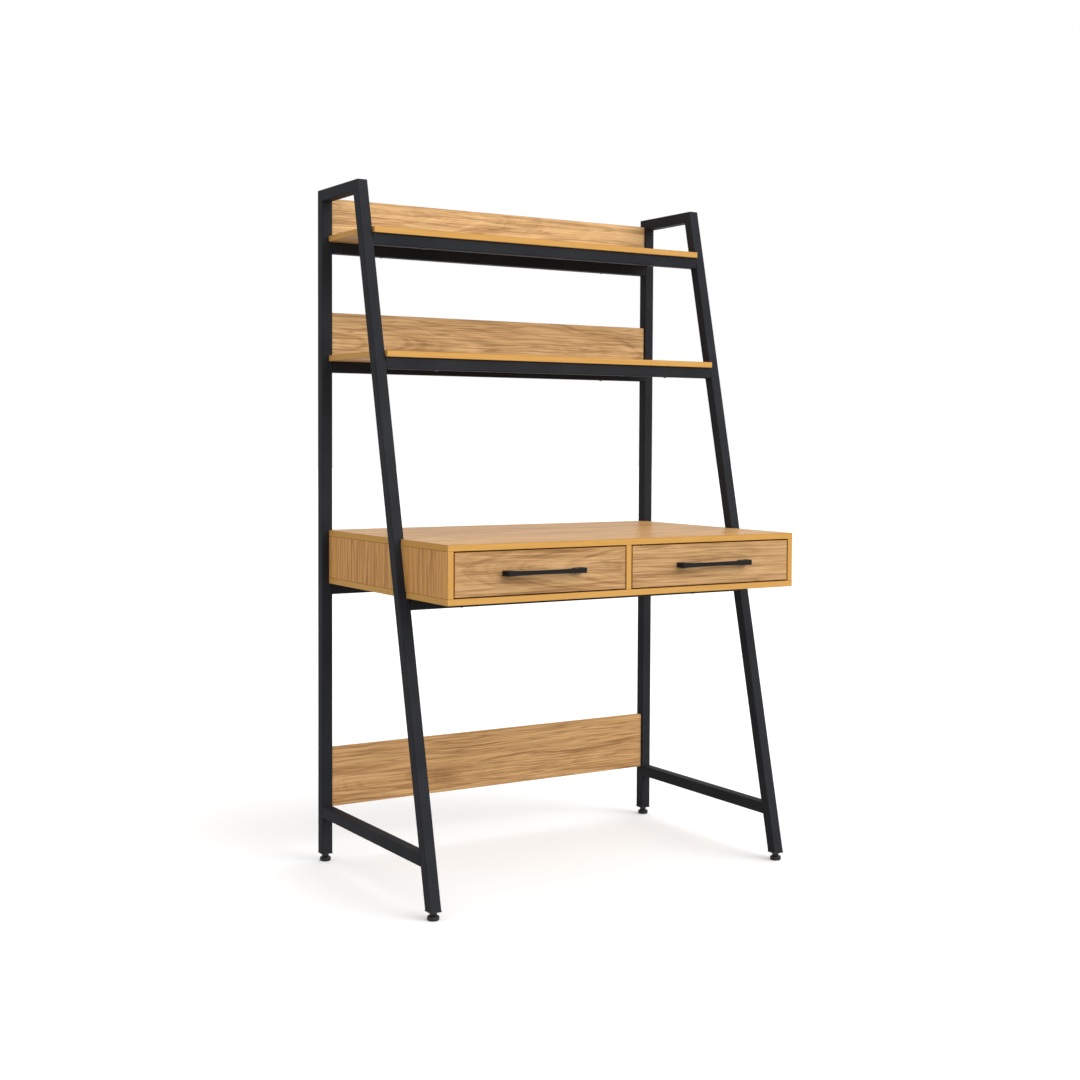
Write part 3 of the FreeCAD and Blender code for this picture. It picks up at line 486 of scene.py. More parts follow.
@dataclass
class Solid:
    """A closed skin of points and quads."""

    points: np.ndarray
    faces: np.ndarray

    @classmethod
    def rings(cls, points: np.ndarray) -> Solid:
        """A skin over rings of points, which closes where the first and the last ring shrink.

        Args:
            points: the points as rings by sides by 3.

        Returns:
            The skin, with a quad between each pair of neighbours.
        """
        count, sides = points.shape[:2]
        ring = np.arange(count - 1)[:, None] * sides
        here = ring + np.arange(sides)
        beside = ring + (np.arange(sides) + 1) % sides
        faces = np.stack([here, beside, beside + sides, here + sides], axis=-1)
        return cls(points.reshape(-1, 3), faces.reshape(-1, 4))

    @classmethod
    def group(cls, solids: list[Solid]) -> Solid:
        """Several skins as one.

        Args:
            solids: the skins.

        Returns:
            One skin with all their points and faces.
        """
        starts = np.cumsum([0] + [len(solid.points) for solid in solids[:-1]])
        faces = [solid.faces + start for solid, start in zip(solids, starts)]
        return cls(np.concatenate([solid.points for solid in solids]), np.concatenate(faces))

    def moved(self, *place: float) -> Solid:
        """The same skin somewhere else."""
        return Solid(self.points + np.array(place), self.faces)

    def turned(self, axis: Axis, degrees: float) -> Solid:
        """The same skin, turned about an axis through the origin."""
        spin = np.array(Matrix.Rotation(math.radians(degrees), 3, axis.name))
        return Solid(self.points @ spin.T, self.faces)


def around(sides: int) -> np.ndarray:
    """Evenly spaced angles of a full turn, in radians."""
    return np.linspace(0.0, math.tau, sides, endpoint=False)


def revolved(radius: np.ndarray, height: np.ndarray, sides: int) -> Solid:
    """Turns a profile round the z axis: x is r cos a, y is r sin a, and z is the profile's height.

    Args:
        radius: the radii, one for each ring, or one for each ring and angle.
        height: the heights, in the same form.
        sides: how many points each ring has.

    Returns:
        The skin.
    """
    shape = (len(radius), sides)
    radii = np.broadcast_to(radius.reshape(len(radius), -1), shape)
    heights = np.broadcast_to(height.reshape(len(height), -1), shape)
    angle = around(sides)
    return Solid.rings(np.stack([radii * np.cos(angle), radii * np.sin(angle), heights], axis=-1))


def swept(section: np.ndarray, spine: np.ndarray, stations: np.ndarray, scale: np.ndarray) -> Solid:
    """Carries a closed section along y, and shrinks it onto its spine at both ends.

    At each station a point is its spine's point plus the scale times its distance from it.

    Args:
        section: the section's points as x and z.
        spine: for each of them, the point that it shrinks to.
        stations: the y of each ring.
        scale: the size of each ring, as a share of the section.

    Returns:
        The skin.
    """
    sizes = np.concatenate([[0.0], scale, [0.0]])[:, None, None]
    places = np.concatenate([stations[:1], stations, stations[-1:]])
    flat = spine + (section - spine) * sizes
    depth = np.broadcast_to(places[:, None], flat.shape[:2])
    return Solid.rings(np.stack([flat[..., 0], depth, flat[..., 1]], axis=-1))


def rounded(corners: np.ndarray, radius: float, steps: int) -> np.ndarray:
    """Rounds the corners of an open path.

    Each corner B becomes the curve (1-t)^2 A + 2t(1-t) B + t^2 C between the points A and C that lie a
    radius away from it along its two legs.

    Args:
        corners: the path's corners as rows of two.
        radius: how far from a corner its curve starts.
        steps: how many points each curve has.

    Returns:
        The points of the rounded path.
    """
    legs = np.diff(corners, axis=0)
    legs = legs / np.linalg.norm(legs, axis=1, keepdims=True)
    bends = corners[1:-1]
    t = np.linspace(0.0, 1.0, steps)[None, :, None]
    before = (bends - radius * legs[:-1])[:, None, :]
    after = (bends + radius * legs[1:])[:, None, :]
    curve = (1 - t) ** 2 * before + 2 * t * (1 - t) * bends[:, None, :] + t**2 * after
    return np.concatenate([corners[:1], curve.reshape(-1, 2), corners[-1:]])


@dataclass(frozen=True)
class Maker:
    """Puts pieces into the scene."""

    merge_distance: float = 0.000002
    sharp_angle: float = 35.0

    def piece(
        self,
        name: str,
        solid: Solid,
        body: str,
        slot: str,
        material: bpy.types.Material,
        replaced: str | None = None,
    ) -> None:
        """Makes a piece that rides on a body.

        Args:
            name: the piece's name.
            solid: its skin.
            body: the body that it moves with.
            slot: the record's material slot; not used.
            material: its material.
            replaced: the CAD node that it stands for, if any.
        """
        mesh = bpy.data.meshes.new(name)
        mesh.from_pydata(solid.points.tolist(), [], solid.faces.tolist())
        work = bmesh.new()
        work.from_mesh(mesh)
        bmesh.ops.remove_doubles(work, verts=work.verts, dist=self.merge_distance)
        bmesh.ops.dissolve_degenerate(work, edges=work.edges, dist=self.merge_distance)
        bmesh.ops.recalc_face_normals(work, faces=work.faces)
        work.to_mesh(mesh)
        work.free()
        mesh.shade_smooth()
        mesh.set_sharp_from_angle(angle=math.radians(self.sharp_angle))
        mesh.materials.append(material)
        thing = bpy.data.objects.new(name, mesh)
        bpy.context.scene.collection.objects.link(thing)
        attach(thing, body)
        if replaced:
            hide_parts(replaced)
        LOG.info("%s rides on %s with %d faces", name, body, len(mesh.polygons))

    def dress(self, node: str, material: bpy.types.Material) -> None:
        """Gives a CAD node a material.

        Args:
            node: the node's name.
            material: its new material.
        """
        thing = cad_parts[node]
        if not thing.material_slots:
            thing.data.materials.append(material)
        for slot in thing.material_slots:
            slot.material = material
        LOG.info("%s is dressed in %s", node, material.name)


# Sub-assemblies

@dataclass
class Boards:
    """The oak boards of the shelves, the desk box and the drawers' fronts."""

    maker: Maker
    level: tuple[str, ...] = ("upper_shelf", "lower_shelf", "desk_bottom")
    upright: tuple[str, ...] = (
        "upper_upstand",
        "lower_upstand",
        "rear_stretcher",
        "left_drawer_front",
        "right_drawer_front",
        "desk_back",
    )
    end_on: tuple[str, ...] = ("desk_left_side", "desk_right_side")
    # Upstands painted lighter, against the shade of the shelves above them.
    upstand_tone: Point = (1.11, 1.22, 1.33)
    # Drawer fronts painted darker, as shade on faces that the light from above reaches less.
    front_tone: Point = (0.88, 0.89, 0.91)
    # Desk sides painted darker and warmer, as the shade on the sides away from the light.
    side_tone: Point = (1.11, 0.96, 0.69)
    # Shelves painted a little lighter, as light.
    shelf_tone: Point = (1.04, 1.06, 1.04)
    # Desk top painted lighter, as light from above.
    top_tone: Point = (1.09, 1.08, 1.0)
    top_roughness: float = 0.33
    top_gloss: float = 0.012

    def build(self) -> None:
        """Dresses every board, each from its own stretch of the log."""
        cut = 0
        for names, grain, face in (
            (self.level, Axis.X, Axis.Z),
            (self.upright, Axis.X, Axis.Y),
            (self.end_on, Axis.Z, Axis.X),
            (("desk_divider",), Axis.Y, Axis.X),
        ):
            for node in names:
                cut += 1
                self.maker.dress(node, OakFinish(node, grain, face, cut, self.tone(node)).material())
        top = OakFinish(
            "desk_top",
            Axis.X,
            Axis.Z,
            cut + 1,
            tone=self.top_tone,
            roughness=self.top_roughness,
            gloss=self.top_gloss,
        )
        self.maker.dress(top.node, top.material())

    def tone(self, node: str) -> Point:
        """A board's painted light and shade: upstands and shelves lighter, drawer fronts darker, desk sides
        darker and warm.

        Args:
            node: the board's name.

        Returns:
            How much lighter than plain oak each channel is painted, as light and shade.
        """
        painted_shadings = {
            "upstand": self.upstand_tone,
            "shelf": self.shelf_tone,
            "front": self.front_tone,
            "side": self.side_tone,
        }
        return painted_shadings.get(node.split("_")[-1], EVEN)


@dataclass
class SteelFrames:
    """The side frames, the rails and the tabs under one powder coat, with beads of weld where they meet."""

    maker: Maker
    tubes: tuple[str, ...] = ("rear_post", "front_post", "top_bar", "tie_bar")
    boards: tuple[str, ...] = ("upper_shelf", "lower_shelf", "desk")
    finish: MottledFinish = MottledFinish("powder_coat", COAT_LIGHT, COAT_DARK, roughness=0.55, gloss=0.03)
    bead_radius: float = 0.0022
    bead_length: float = 0.019
    bead_ripple_share: float = 0.09
    bead_ripple_length: float = 0.0017
    bead_stations: int = 45
    bead_arc_points: int = 7
    bead_end_share: float = 0.25

    def build(self) -> None:
        """Dresses the tubes and the tabs, and lays the beads."""
        coat = self.finish.material()
        for side in Side:
            for tube in self.tubes:
                self.maker.dress(f"{side.word}_{tube}", coat)
        for board in self.boards:
            for end in ("front", "rear"):
                rail = f"{board}_{end}_rail"
                self.maker.dress(rail, coat)
                self.maker.piece(f"{rail}_weld", self.rail_beads(rail), "frame", "black_steel", coat)
        self.maker.dress("stretcher_tabs", coat)
        for side in Side:
            bar = f"{side.word}_tie_bar"
            self.maker.piece(f"{bar}_weld", self.bar_beads(bar), "frame", "black_steel", coat)

    def bead(self) -> Solid:
        """A bead along y in the corner between the planes x = 0 and z = 0, on their positive sides.

        The section is the corner and a quarter of a circle. Its radius ripples as 1 - r + r sin(s), with s
        along the bead, and falls to nothing at both ends as the square root of the distance to them.

        Returns:
            The skin of the bead.
        """
        arc = np.linspace(0.0, math.pi / 2, self.bead_arc_points)
        curve = self.bead_radius * np.stack([np.cos(arc), np.sin(arc)], axis=-1)
        section = np.concatenate([[[0.0, 0.0]], curve])
        half = self.bead_length / 2
        stations = np.linspace(-half, half, self.bead_stations)
        wave = np.sin(math.tau * stations / self.bead_ripple_length)
        to_end = (half - np.abs(stations)) / (half * self.bead_end_share)
        fade = np.sqrt(np.clip(to_end, 0.0, 1.0))
        scale = (1 - self.bead_ripple_share + self.bead_ripple_share * wave) * fade
        return swept(section, np.zeros_like(section), stations[1:-1], scale[1:-1])

    def rail_beads(self, rail: str) -> Solid:
        """The two beads under a rail, where its ends meet the posts.

        Args:
            rail: the rail's name.

        Returns:
            Both skins.
        """
        low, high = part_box(rail)
        bead = self.bead().turned(Axis.Y, QUARTER_TURN)
        left = bead.moved(low.x, (low.y + high.y) / 2, low.z)
        right = bead.turned(Axis.Z, HALF_TURN).moved(high.x, (low.y + high.y) / 2, low.z)
        return Solid.group([left, right])

    def bar_beads(self, bar: str) -> Solid:
        """The two beads over and under the rear end of a tie bar, where it meets the rear post.

        Args:
            bar: the tie bar's name.

        Returns:
            Both skins.
        """
        low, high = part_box(bar)
        across = self.bead().turned(Axis.Z, -QUARTER_TURN)
        middle = (low.x + high.x) / 2
        over = across.moved(middle, high.y, high.z)
        under = across.turned(Axis.Y, HALF_TURN).moved(middle, high.y, low.z)
        return Solid.group([over, under])


@dataclass
class Screws:
    """Pan-head screws with a cross recess, in place of the plain ones."""

    maker: Maker
    head_radius: float = 0.004
    head_height: float = 0.0022
    shank_radius: float = 0.0019
    thread_depth: float = 0.0003
    thread_pitch: float = 0.0018
    tip_length: float = 0.003
    recess_length: float = 0.0023
    recess_width: float = 0.0005
    recess_depth: float = 0.0012
    recess_edge: float = 0.00025
    sides: int = 32
    dome_rings: int = 14
    rings_per_pitch: int = 5
    spread: float = 0.3
    row_reach: float = 0.008
    rail_reach: float = 0.075
    tab_inset: float = 0.015
    tab_spread: float = 0.025
    finish: MottledFinish = MottledFinish("screw_zinc", SCREW_LIGHT, SCREW_DARK, roughness=0.35, metal=1.0)

    def build(self) -> None:
        """Makes the screws under the rails, through the tabs and behind the handles."""
        zinc = self.finish.material()
        rows = {"shelf_screws": ("upper_shelf", "lower_shelf"), "desk_screws": ("desk",)}
        for node, boards in rows.items():
            rails = [f"{board}_{end}_rail" for board in boards for end in ("front", "rear")]
            self.maker.piece(f"{node}_turned", self.under(node, rails), "frame", "screw_steel", zinc, node)
        node = "stretcher_screws"
        self.maker.piece(f"{node}_turned", self.behind_tabs(node), "frame", "screw_steel", zinc, node)
        for side in Side:
            body = f"{side.word}_drawer"
            node = f"{body}_handle_screws"
            self.maker.piece(f"{node}_turned", self.behind_handle(node), body, "screw_steel", zinc, node)

    def screw(self, length: float) -> Solid:
        """A screw that points up, with the underside of its head's rim at height 0.

        The head is a dome, r = R sin a and z = -H cos a, sunk by the recess where its point lies in one
        of two crossed bars. The shank's radius rises and falls once in each pitch along its helix, and
        shrinks to the tip.

        Args:
            length: from under the head to the tip.

        Returns:
            The skin.
        """
        angle = around(self.sides)
        rise = np.linspace(0.0, math.pi / 2, self.dome_rings)[:, None]
        dome = np.repeat(self.head_radius * np.sin(rise), self.sides, axis=1)
        x = np.abs(dome * np.cos(angle))
        y = np.abs(dome * np.sin(angle))
        inside = np.minimum(self.recess_length - np.maximum(x, y), self.recess_width - np.minimum(x, y))
        sunk = self.recess_depth * np.clip(inside / self.recess_edge + 1, 0.0, 1.0)
        top = sunk - self.head_height * np.cos(rise)
        count = int(length / self.thread_pitch * self.rings_per_pitch)
        along = np.linspace(0.0, length, count)[:, None]
        phase = (along / self.thread_pitch - angle / math.tau) % 1
        taper = np.clip((length - along) / self.tip_length, 0.0, 1.0)
        shank = (self.shank_radius - self.thread_depth * np.abs(2 * phase - 1)) * taper
        heights = np.concatenate([top, np.repeat(along, self.sides, axis=1)])
        return revolved(np.concatenate([dome, shank]), heights, self.sides)

    def under(self, node: str, rails: list[str]) -> Solid:
        """Two screws up through each rail, as long as the CAD's own.

        Args:
            node: the CAD node with these screws.
            rails: the rails that they go through.

        Returns:
            The skins of all the screws.
        """
        screws = []
        for rail in rails:
            low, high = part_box(rail)
            reach = self.reach(node, low.z, (low.y + high.y) / 2)
            for side in Side:
                place = (side.value * self.spread, (low.y + high.y) / 2, low.z)
                screws.append(self.screw(reach).moved(*place))
        return Solid.group(screws)

    def reach(self, node: str, bottom: float, row: float) -> float:
        """How far the CAD's screws in a rail reach above its underside.

        Args:
            node: the CAD node with the screws.
            bottom: the height of the rail's underside.
            row: where the screws stand along y.

        Returns:
            The height of the points near that row and rail, above the underside.
        """
        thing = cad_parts[node]
        flat = np.empty(len(thing.data.vertices) * 3)
        thing.data.vertices.foreach_get("co", flat)
        points = flat.reshape(-1, 3)
        in_row = np.abs(points[:, 1] - row) < self.row_reach
        in_rail = np.abs(points[:, 2] - bottom) < self.rail_reach
        return float(points[in_row & in_rail, 2].max() - bottom)

    def behind_tabs(self, node: str) -> Solid:
        """Two screws forward through each tab into the stretcher.

        Args:
            node: the CAD node with these screws.

        Returns:
            The skins of all the screws.
        """
        low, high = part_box("stretcher_tabs")
        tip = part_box(node)[0].y
        screw = self.screw(high.y - tip).turned(Axis.X, QUARTER_TURN)
        middle = (low.z + high.z) / 2
        return Solid.group(
            [
                screw.moved(side.value * (high.x - self.tab_inset), high.y, middle + step * self.tab_spread)
                for side in Side
                for step in (-1, 1)
            ]
        )

    def behind_handle(self, node: str) -> Solid:
        """Two screws forward through a drawer's front into its handle.

        Args:
            node: the CAD node with these screws.

        Returns:
            Both skins.
        """
        low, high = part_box(node)
        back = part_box(node.replace("handle_screws", "front"))[1].y
        screw = self.screw(back - low.y).turned(Axis.X, QUARTER_TURN)
        height = (low.z + high.z) / 2
        return Solid.group(
            [
                screw.moved(low.x + self.head_radius, back, height),
                screw.moved(high.x - self.head_radius, back, height),
            ]
        )


@dataclass
class Drawers:
    """The drawers' boxes, handles and ball runners."""

    maker: Maker
    lengthwise_boards: tuple[str, ...] = ("left_side", "right_side", "bottom")
    sheet_steel: float = 0.0012
    cage_steel: float = 0.0008
    bend: float = 0.0011
    bend_steps: int = 5
    lip: float = 0.0032
    edge_share: float = 0.75
    edge_depth: float = 0.0004
    ball_radius: float = 0.002
    ball_clearance: float = 0.0004
    ball_step: float = 0.03
    ball_count: int = 4
    ball_sides: int = 16
    ball_rings: int = 9
    pale: MottledFinish = MottledFinish(
        "pale_board",
        PALE_LIGHT,
        PALE_DARK,
        roughness=0.5,
        gloss=0.3,
        clouds=Cloud((120.0, 4.0, 120.0), detail=5.0, strength=0.7),
    )
    pale_across: MottledFinish = MottledFinish(
        "pale_board_across",
        PALE_LIGHT,
        PALE_DARK,
        roughness=0.5,
        gloss=0.3,
        clouds=Cloud((4.0, 120.0, 120.0), detail=5.0, strength=0.7),
    )
    black: MottledFinish = MottledFinish("handle_black", HANDLE_LIGHT, HANDLE_DARK, roughness=0.4, gloss=0.1)
    zinc: MottledFinish = MottledFinish(
        "bright_zinc",
        ZINC_LIGHT,
        ZINC_DARK,
        roughness=0.32,
        metal=1.0,
        grain=Cloud((800.0, 20.0, 800.0), detail=2.0),
    )
    steel: MottledFinish = MottledFinish("ball_steel", BALL_LIGHT, BALL_DARK, roughness=0.16, metal=1.0)

    def build(self) -> None:
        """Dresses both drawers and makes their runners."""
        pale = self.pale.material()
        pale_across = self.pale_across.material()
        black = self.black.material()
        zinc = self.zinc.material()
        steel = self.steel.material()
        for side in Side:
            name = f"{side.word}_drawer"
            for board in self.lengthwise_boards:
                self.maker.dress(f"{name}_{board}", pale)
            self.maker.dress(f"{name}_back", pale_across)
            self.maker.dress(f"{name}_handle", black)
            for hand in Side:
                self.runners(name, hand, zinc)
            cage = f"{name}_ball_cages"
            body = f"{side.word}_ball_cages"
            self.maker.piece(f"{cage}_round", self.cages(cage), body, "ball_steel", steel, cage)

    def channel(self, corners: np.ndarray, steel: float, front: float, back: float) -> Solid:
        """A strip of sheet steel that is bent along its length.

        The section is the rounded middle line, set off by half the steel's thickness to both sides.

        Args:
            corners: the corners of the middle line as x and z.
            steel: the steel's thickness.
            front: where the strip starts along y.
            back: where it ends.

        Returns:
            The skin.
        """
        line = rounded(corners, self.bend, self.bend_steps)
        slope = np.gradient(line, axis=0)
        slope = slope / np.linalg.norm(slope, axis=1, keepdims=True)
        out = np.stack([slope[:, 1], -slope[:, 0]], axis=-1) * steel / 2
        section = np.concatenate([line + out, (line - out)[::-1]])
        spine = np.concatenate([line, line[::-1]])
        ease = self.edge_depth
        stations = np.array([front, front + ease, back - ease, back])
        return swept(section, spine, stations, np.array([self.edge_share, 1.0, 1.0, self.edge_share]))

    def runners(self, drawer: str, hand: Side, zinc: bpy.types.Material) -> None:
        """Makes the two members of the runner on one side of a drawer.

        Args:
            drawer: the drawer's name.
            hand: the side of the drawer.
            zinc: the material.
        """
        half = self.sheet_steel / 2
        inward = -hand.value
        cabinet = f"{drawer}_{hand.word}_cabinet_runner"
        low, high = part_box(cabinet)
        outer, inner = self.ends(low.x, high.x, hand)
        web = outer + inward * half
        tip = inner - inward * half
        lips = (low.z + self.lip, high.z - self.lip)
        corners = [(tip, lips[0]), (tip, low.z + half), (web, low.z + half)]
        corners += [(web, high.z - half), (tip, high.z - half), (tip, lips[1])]
        skin = self.channel(np.array(corners), self.sheet_steel, low.y, high.y)
        self.maker.piece(f"{cabinet}_rolled", skin, "frame", "runner_steel", zinc, cabinet)
        slide = f"{drawer}_{hand.word}_slide_runner"
        low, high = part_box(slide)
        outer, inner = self.ends(low.x, high.x, hand)
        web = inner - inward * half
        corners = [(outer, low.z + half), (web, low.z + half), (web, high.z - half), (outer, high.z - half)]
        skin = self.channel(np.array(corners), self.sheet_steel, low.y, high.y)
        self.maker.piece(f"{slide}_rolled", skin, drawer, "runner_steel", zinc, slide)

    def ends(self, low: float, high: float, hand: Side) -> tuple[float, float]:
        """The ends of a runner's width, first the one at the desk's board and then the drawer's."""
        return (low, high) if hand is Side.LEFT else (high, low)

    def cages(self, node: str) -> Solid:
        """The two bent strips that carry a drawer's balls, and the balls.

        A ball is r sin a round its axis at the height -r cos a.

        Args:
            node: the CAD node with the cages.

        Returns:
            All the skins.
        """
        low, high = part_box(node)
        drawer = node.replace("_ball_cages", "")
        turn = np.linspace(0.0, math.pi, self.ball_rings)
        ball = revolved(self.ball_radius * np.sin(turn), -self.ball_radius * np.cos(turn), self.ball_sides)
        row = (np.arange(self.ball_count) - (self.ball_count - 1) / 2) * self.ball_step
        skins = []
        for hand in Side:
            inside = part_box(f"{drawer}_{hand.word}_cabinet_runner")
            web, wall = (low.x, inside[1].x) if hand is Side.LEFT else (high.x, inside[0].x)
            inward = -hand.value
            lip_start = wall - inward * (self.sheet_steel + self.ball_clearance)
            ball_x = (web + lip_start) / 2
            middle = (low.z + high.z) / 2
            rise = (inside[1].z - inside[0].z) / 2 - self.sheet_steel - self.ball_radius - self.ball_clearance
            web_x = web + inward * self.cage_steel / 2
            corners = [(ball_x + inward * self.ball_radius, middle - rise), (web_x, middle - rise)]
            corners += [(web_x, middle + rise), (ball_x + inward * self.ball_radius, middle + rise)]
            skins.append(self.channel(np.array(corners), self.cage_steel, low.y, high.y))
            for height in (middle - rise, middle + rise):
                for step in row:
                    skins.append(ball.moved(ball_x, (low.y + high.y) / 2 + step, height))
        return Solid.group(skins)


@dataclass
class LevellingFeet:
    """The moulded feet under the posts, with the inserts that hold them."""

    maker: Maker
    pad_radius: float = 0.0125
    pad_flat: float = 0.0095
    pad_height: float = 0.009
    pad_power: float = 0.7
    pad_rings: int = 13
    nut_width: float = 0.013
    nut_height: float = 0.006
    nut_chamfer: float = 0.0006
    stem_radius: float = 0.004
    thread_depth: float = 0.0006
    thread_pitch: float = 0.00125
    rings_per_pitch: int = 6
    sides: int = 48
    finish: MottledFinish = MottledFinish(
        "moulded_black", PLASTIC_LIGHT, PLASTIC_DARK, roughness=0.5, gloss=0.3
    )
    plating: MottledFinish = MottledFinish("stem_zinc", SCREW_LIGHT, SCREW_DARK, roughness=0.35, metal=1.0)

    def build(self) -> None:
        """Dresses the inserts and makes the feet."""
        plastic = self.finish.material()
        zinc = self.plating.material()
        for end in ("front", "rear"):
            self.maker.dress(f"{end}_post_inserts", plastic)
            for side in Side:
                foot = f"{side.word}_{end}_foot"
                low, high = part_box(foot)
                place = ((low.x + high.x) / 2, (low.y + high.y) / 2)
                base = self.pad_height + self.nut_height
                pad = self.pad().moved(*place, low.z)
                nut = self.nut().moved(*place, low.z + self.pad_height)
                stem = self.stem(high.z - low.z - base).moved(*place, low.z + base)
                self.maker.piece(f"{foot}_pad", pad, foot, "foot_plastic", plastic, foot)
                self.maker.piece(f"{foot}_nut", nut, foot, "foot_plastic", plastic)
                self.maker.piece(f"{foot}_stem", stem, foot, "screw_steel", zinc)

    def pad(self) -> Solid:
        """A flat pad with a round rim: beyond its flat, r grows as cos^p and z as sin^p of the angle.

        Returns:
            The skin.
        """
        turn = np.linspace(-math.pi / 2, math.pi / 2, self.pad_rings)
        half = self.pad_height / 2
        reach = self.pad_radius - self.pad_flat
        rim = self.pad_flat + reach * np.clip(np.cos(turn), 0.0, 1.0) ** self.pad_power
        rise = half + half * np.sign(turn) * np.abs(np.sin(turn)) ** self.pad_power
        radius = np.concatenate([[0.0], rim, [0.0]])
        height = np.concatenate([[0.0], rise, [self.pad_height]])
        return revolved(radius, height, self.sides)

    def nut(self) -> Solid:
        """A hexagon: r is the half width over the cosine of the angle to the nearest flat's middle.

        A cone takes its corners off at both ends.

        Returns:
            The skin.
        """
        half = self.nut_width / 2
        sixth = math.pi / 3
        hexagon = half / np.cos((around(self.sides) + sixth / 2) % sixth - sixth / 2)
        corner = hexagon.max()
        height = self.nut_height
        limit = np.array([0.0, half, corner, corner, half, 0.0])
        levels = np.array([0.0, 0.0, self.nut_chamfer, height - self.nut_chamfer, height, height])
        return revolved(np.minimum(hexagon, limit[:, None]), levels, self.sides)

    def stem(self, length: float) -> Solid:
        """A threaded stem: the radius rises and falls once in each pitch along the helix.

        Args:
            length: how long the stem is.

        Returns:
            The skin.
        """
        count = int(length / self.thread_pitch * self.rings_per_pitch)
        along = np.linspace(0.0, length, count)[:, None]
        phase = (along / self.thread_pitch - around(self.sides) / math.tau) % 1
        radius = self.stem_radius - self.thread_depth * np.abs(2 * phase - 1)
        closed = np.zeros((1, self.sides))
        heights = np.concatenate([closed, along + closed, closed + length])
        return revolved(np.concatenate([closed, radius, closed]), heights, self.sides)


# Studio

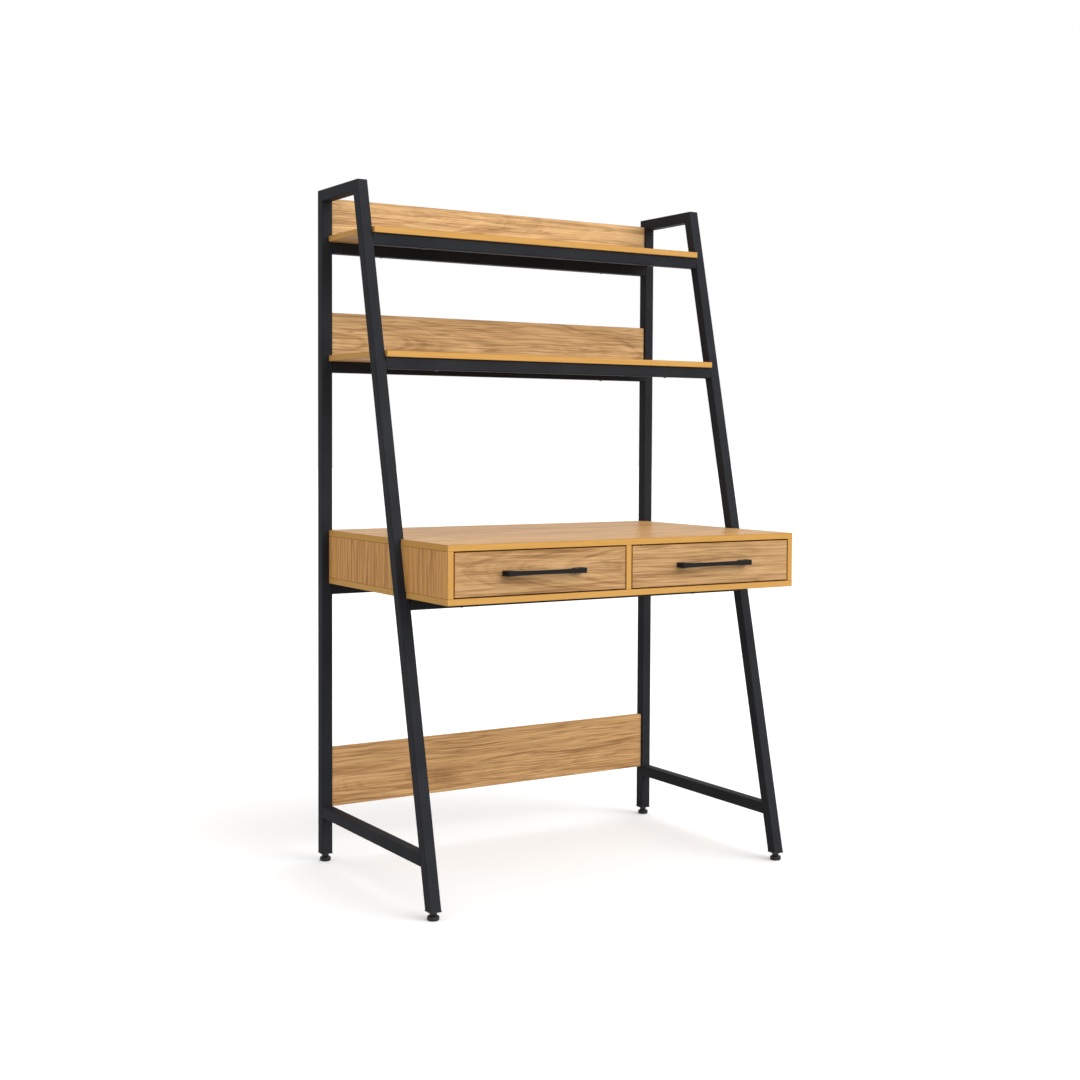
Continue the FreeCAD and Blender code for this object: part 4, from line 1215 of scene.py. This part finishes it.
@dataclass
class Studio:
    """A pale floor, soft light and the camera."""

    floor_half: float = 40.0
    floor_roughness: float = 0.9
    floor_glow: float = 0.08
    fill_level: float = 0.97
    fill_swing: float = 0.45
    fill_from: Point = (0.75, -0.6, 0.25)
    key_place: Point = (2.0, -3.9, 2.2)
    key_spread: float = 50.0
    key_strength: float = 1.5
    camera_place: Point = (-1.89384, -3.00225, 0.95630)
    camera_yaw: float = -32.311
    camera_pitch: float = -2.223
    camera_roll: float = 0.299
    lens_length: float = 53.158
    sensor: float = 36.0
    shift: tuple[float, float] = (-0.0204, -0.0380)

    def build(self) -> None:
        """Makes the floor, the lights and the camera."""
        bpy.context.scene.view_settings.view_transform = "Standard"
        self.floor()
        self.sky()
        self.key()
        self.camera()

    def seen(self, tree: bpy.types.NodeTree) -> Socket:
        """A number that is 1 where a ray shows the studio itself and 0 where it only lights the desk.

        Args:
            tree: the nodes of the floor's material or of the world.

        Returns:
            The number: 1 for the camera's rays, and for those in reflections and in glass.
        """
        path = tree.nodes.new("ShaderNodeLightPath")
        shown = path.outputs["Is Camera Ray"]
        for name in ("Is Glossy Ray", "Is Transmission Ray"):
            either = tree.nodes.new("ShaderNodeMath")
            either.operation = "MAXIMUM"
            tree.links.new(shown, either.inputs[0])
            tree.links.new(path.outputs[name], either.inputs[1])
            shown = either.outputs[0]
        return shown

    def floor(self) -> None:
        """Lays a plain floor that takes the shadow, a square at height 0 that doesn't show from beneath."""
        half = self.floor_half
        corners = [(-half, -half, 0.0), (half, -half, 0.0), (half, half, 0.0), (-half, half, 0.0)]
        mesh = bpy.data.meshes.new("floor")
        mesh.from_pydata(corners, [], [(0, 1, 2, 3)])
        sheet = Sheet("floor_white")
        seen = self.seen(sheet.material.node_tree)
        beneath = sheet.nodes.new("ShaderNodeNewGeometry").outputs["Backfacing"]
        sheet.surface(
            Base_Color=sheet.mix(seen, FLOOR_BOUNCE, FLOOR_WHITE),
            Roughness=self.floor_roughness,
            Specular_IOR_Level=0.0,
            Emission_Color=WHITE,
            Emission_Strength=sheet.reckon("MULTIPLY", seen, self.floor_glow),
            Alpha=sheet.reckon("SUBTRACT", 1.0, sheet.reckon("MULTIPLY", seen, beneath)),
        )
        mesh.materials.append(sheet.material)
        floor = bpy.data.objects.new("floor", mesh)
        bpy.context.scene.collection.objects.link(floor)

    def sky(self) -> None:
        """Fills in from all round, most from ahead and the right, and shows white behind the desk.

        The light from a direction is the level plus the swing times the cosine of its angle to fill_from.
        """
        world = bpy.data.worlds.new("studio")
        world.use_nodes = True
        nodes = world.node_tree.nodes
        links = world.node_tree.links
        nodes.clear()
        toward = nodes.new("ShaderNodeVectorMath")
        toward.operation = "DOT_PRODUCT"
        toward.inputs[1].default_value = Vector(self.fill_from).normalized()
        links.new(nodes.new("ShaderNodeTexCoord").outputs["Generated"], toward.inputs[0])
        fill = nodes.new("ShaderNodeMath")
        fill.operation = "MULTIPLY_ADD"
        links.new(toward.outputs["Value"], fill.inputs[0])
        fill.inputs[1].default_value = self.fill_swing
        fill.inputs[2].default_value = self.fill_level
        strength = nodes.new("ShaderNodeMapRange")
        links.new(fill.outputs[0], strength.inputs["To Min"])
        links.new(self.seen(world.node_tree), strength.inputs["Value"])
        light = nodes.new("ShaderNodeBackground")
        light.inputs["Color"].default_value = WHITE
        links.new(strength.outputs["Result"], light.inputs["Strength"])
        output = nodes.new("ShaderNodeOutputWorld")
        links.new(light.outputs["Background"], output.inputs["Surface"])
        bpy.context.scene.world = world

    def key(self) -> None:
        """Lights the desk and the whole floor evenly from ahead, to the right and above."""
        lamp = bpy.data.lights.new("key", "SUN")
        lamp.angle = math.radians(self.key_spread)
        lamp.energy = self.key_strength
        thing = bpy.data.objects.new("key", lamp)
        thing.location = self.key_place
        thing.rotation_euler = (-Vector(self.key_place)).to_track_quat("-Z", "Y").to_euler()
        bpy.context.scene.collection.objects.link(thing)

    def camera(self) -> None:
        """Stands the camera where the photograph's straight edges meet the desk's own."""
        lens = bpy.data.cameras.new("camera")
        lens.sensor_width = self.sensor
        lens.lens = self.lens_length
        lens.shift_x, lens.shift_y = self.shift
        upright = math.radians(QUARTER_TURN + self.camera_pitch)
        heading = Euler((upright, 0.0, math.radians(self.camera_yaw))).to_matrix()
        roll = Matrix.Rotation(math.radians(self.camera_roll), 3, "Z")
        place = Matrix.Translation(Vector(self.camera_place))
        thing = bpy.data.objects.new("camera", lens)
        thing.matrix_world = place @ (heading @ roll).to_4x4()
        bpy.context.scene.collection.objects.link(thing)
        bpy.context.scene.camera = thing


def main() -> None:
    """Builds the desk's looks and the studio round it."""
    logging.basicConfig(level=logging.INFO, format="%(name)s: %(message)s")
    maker = Maker()
    assemblies = (Boards(maker), SteelFrames(maker), Screws(maker), Drawers(maker), LevellingFeet(maker))
    for assembly in assemblies:
        assembly.build()
    Studio().build()


if __name__ == "__main__":
    main()
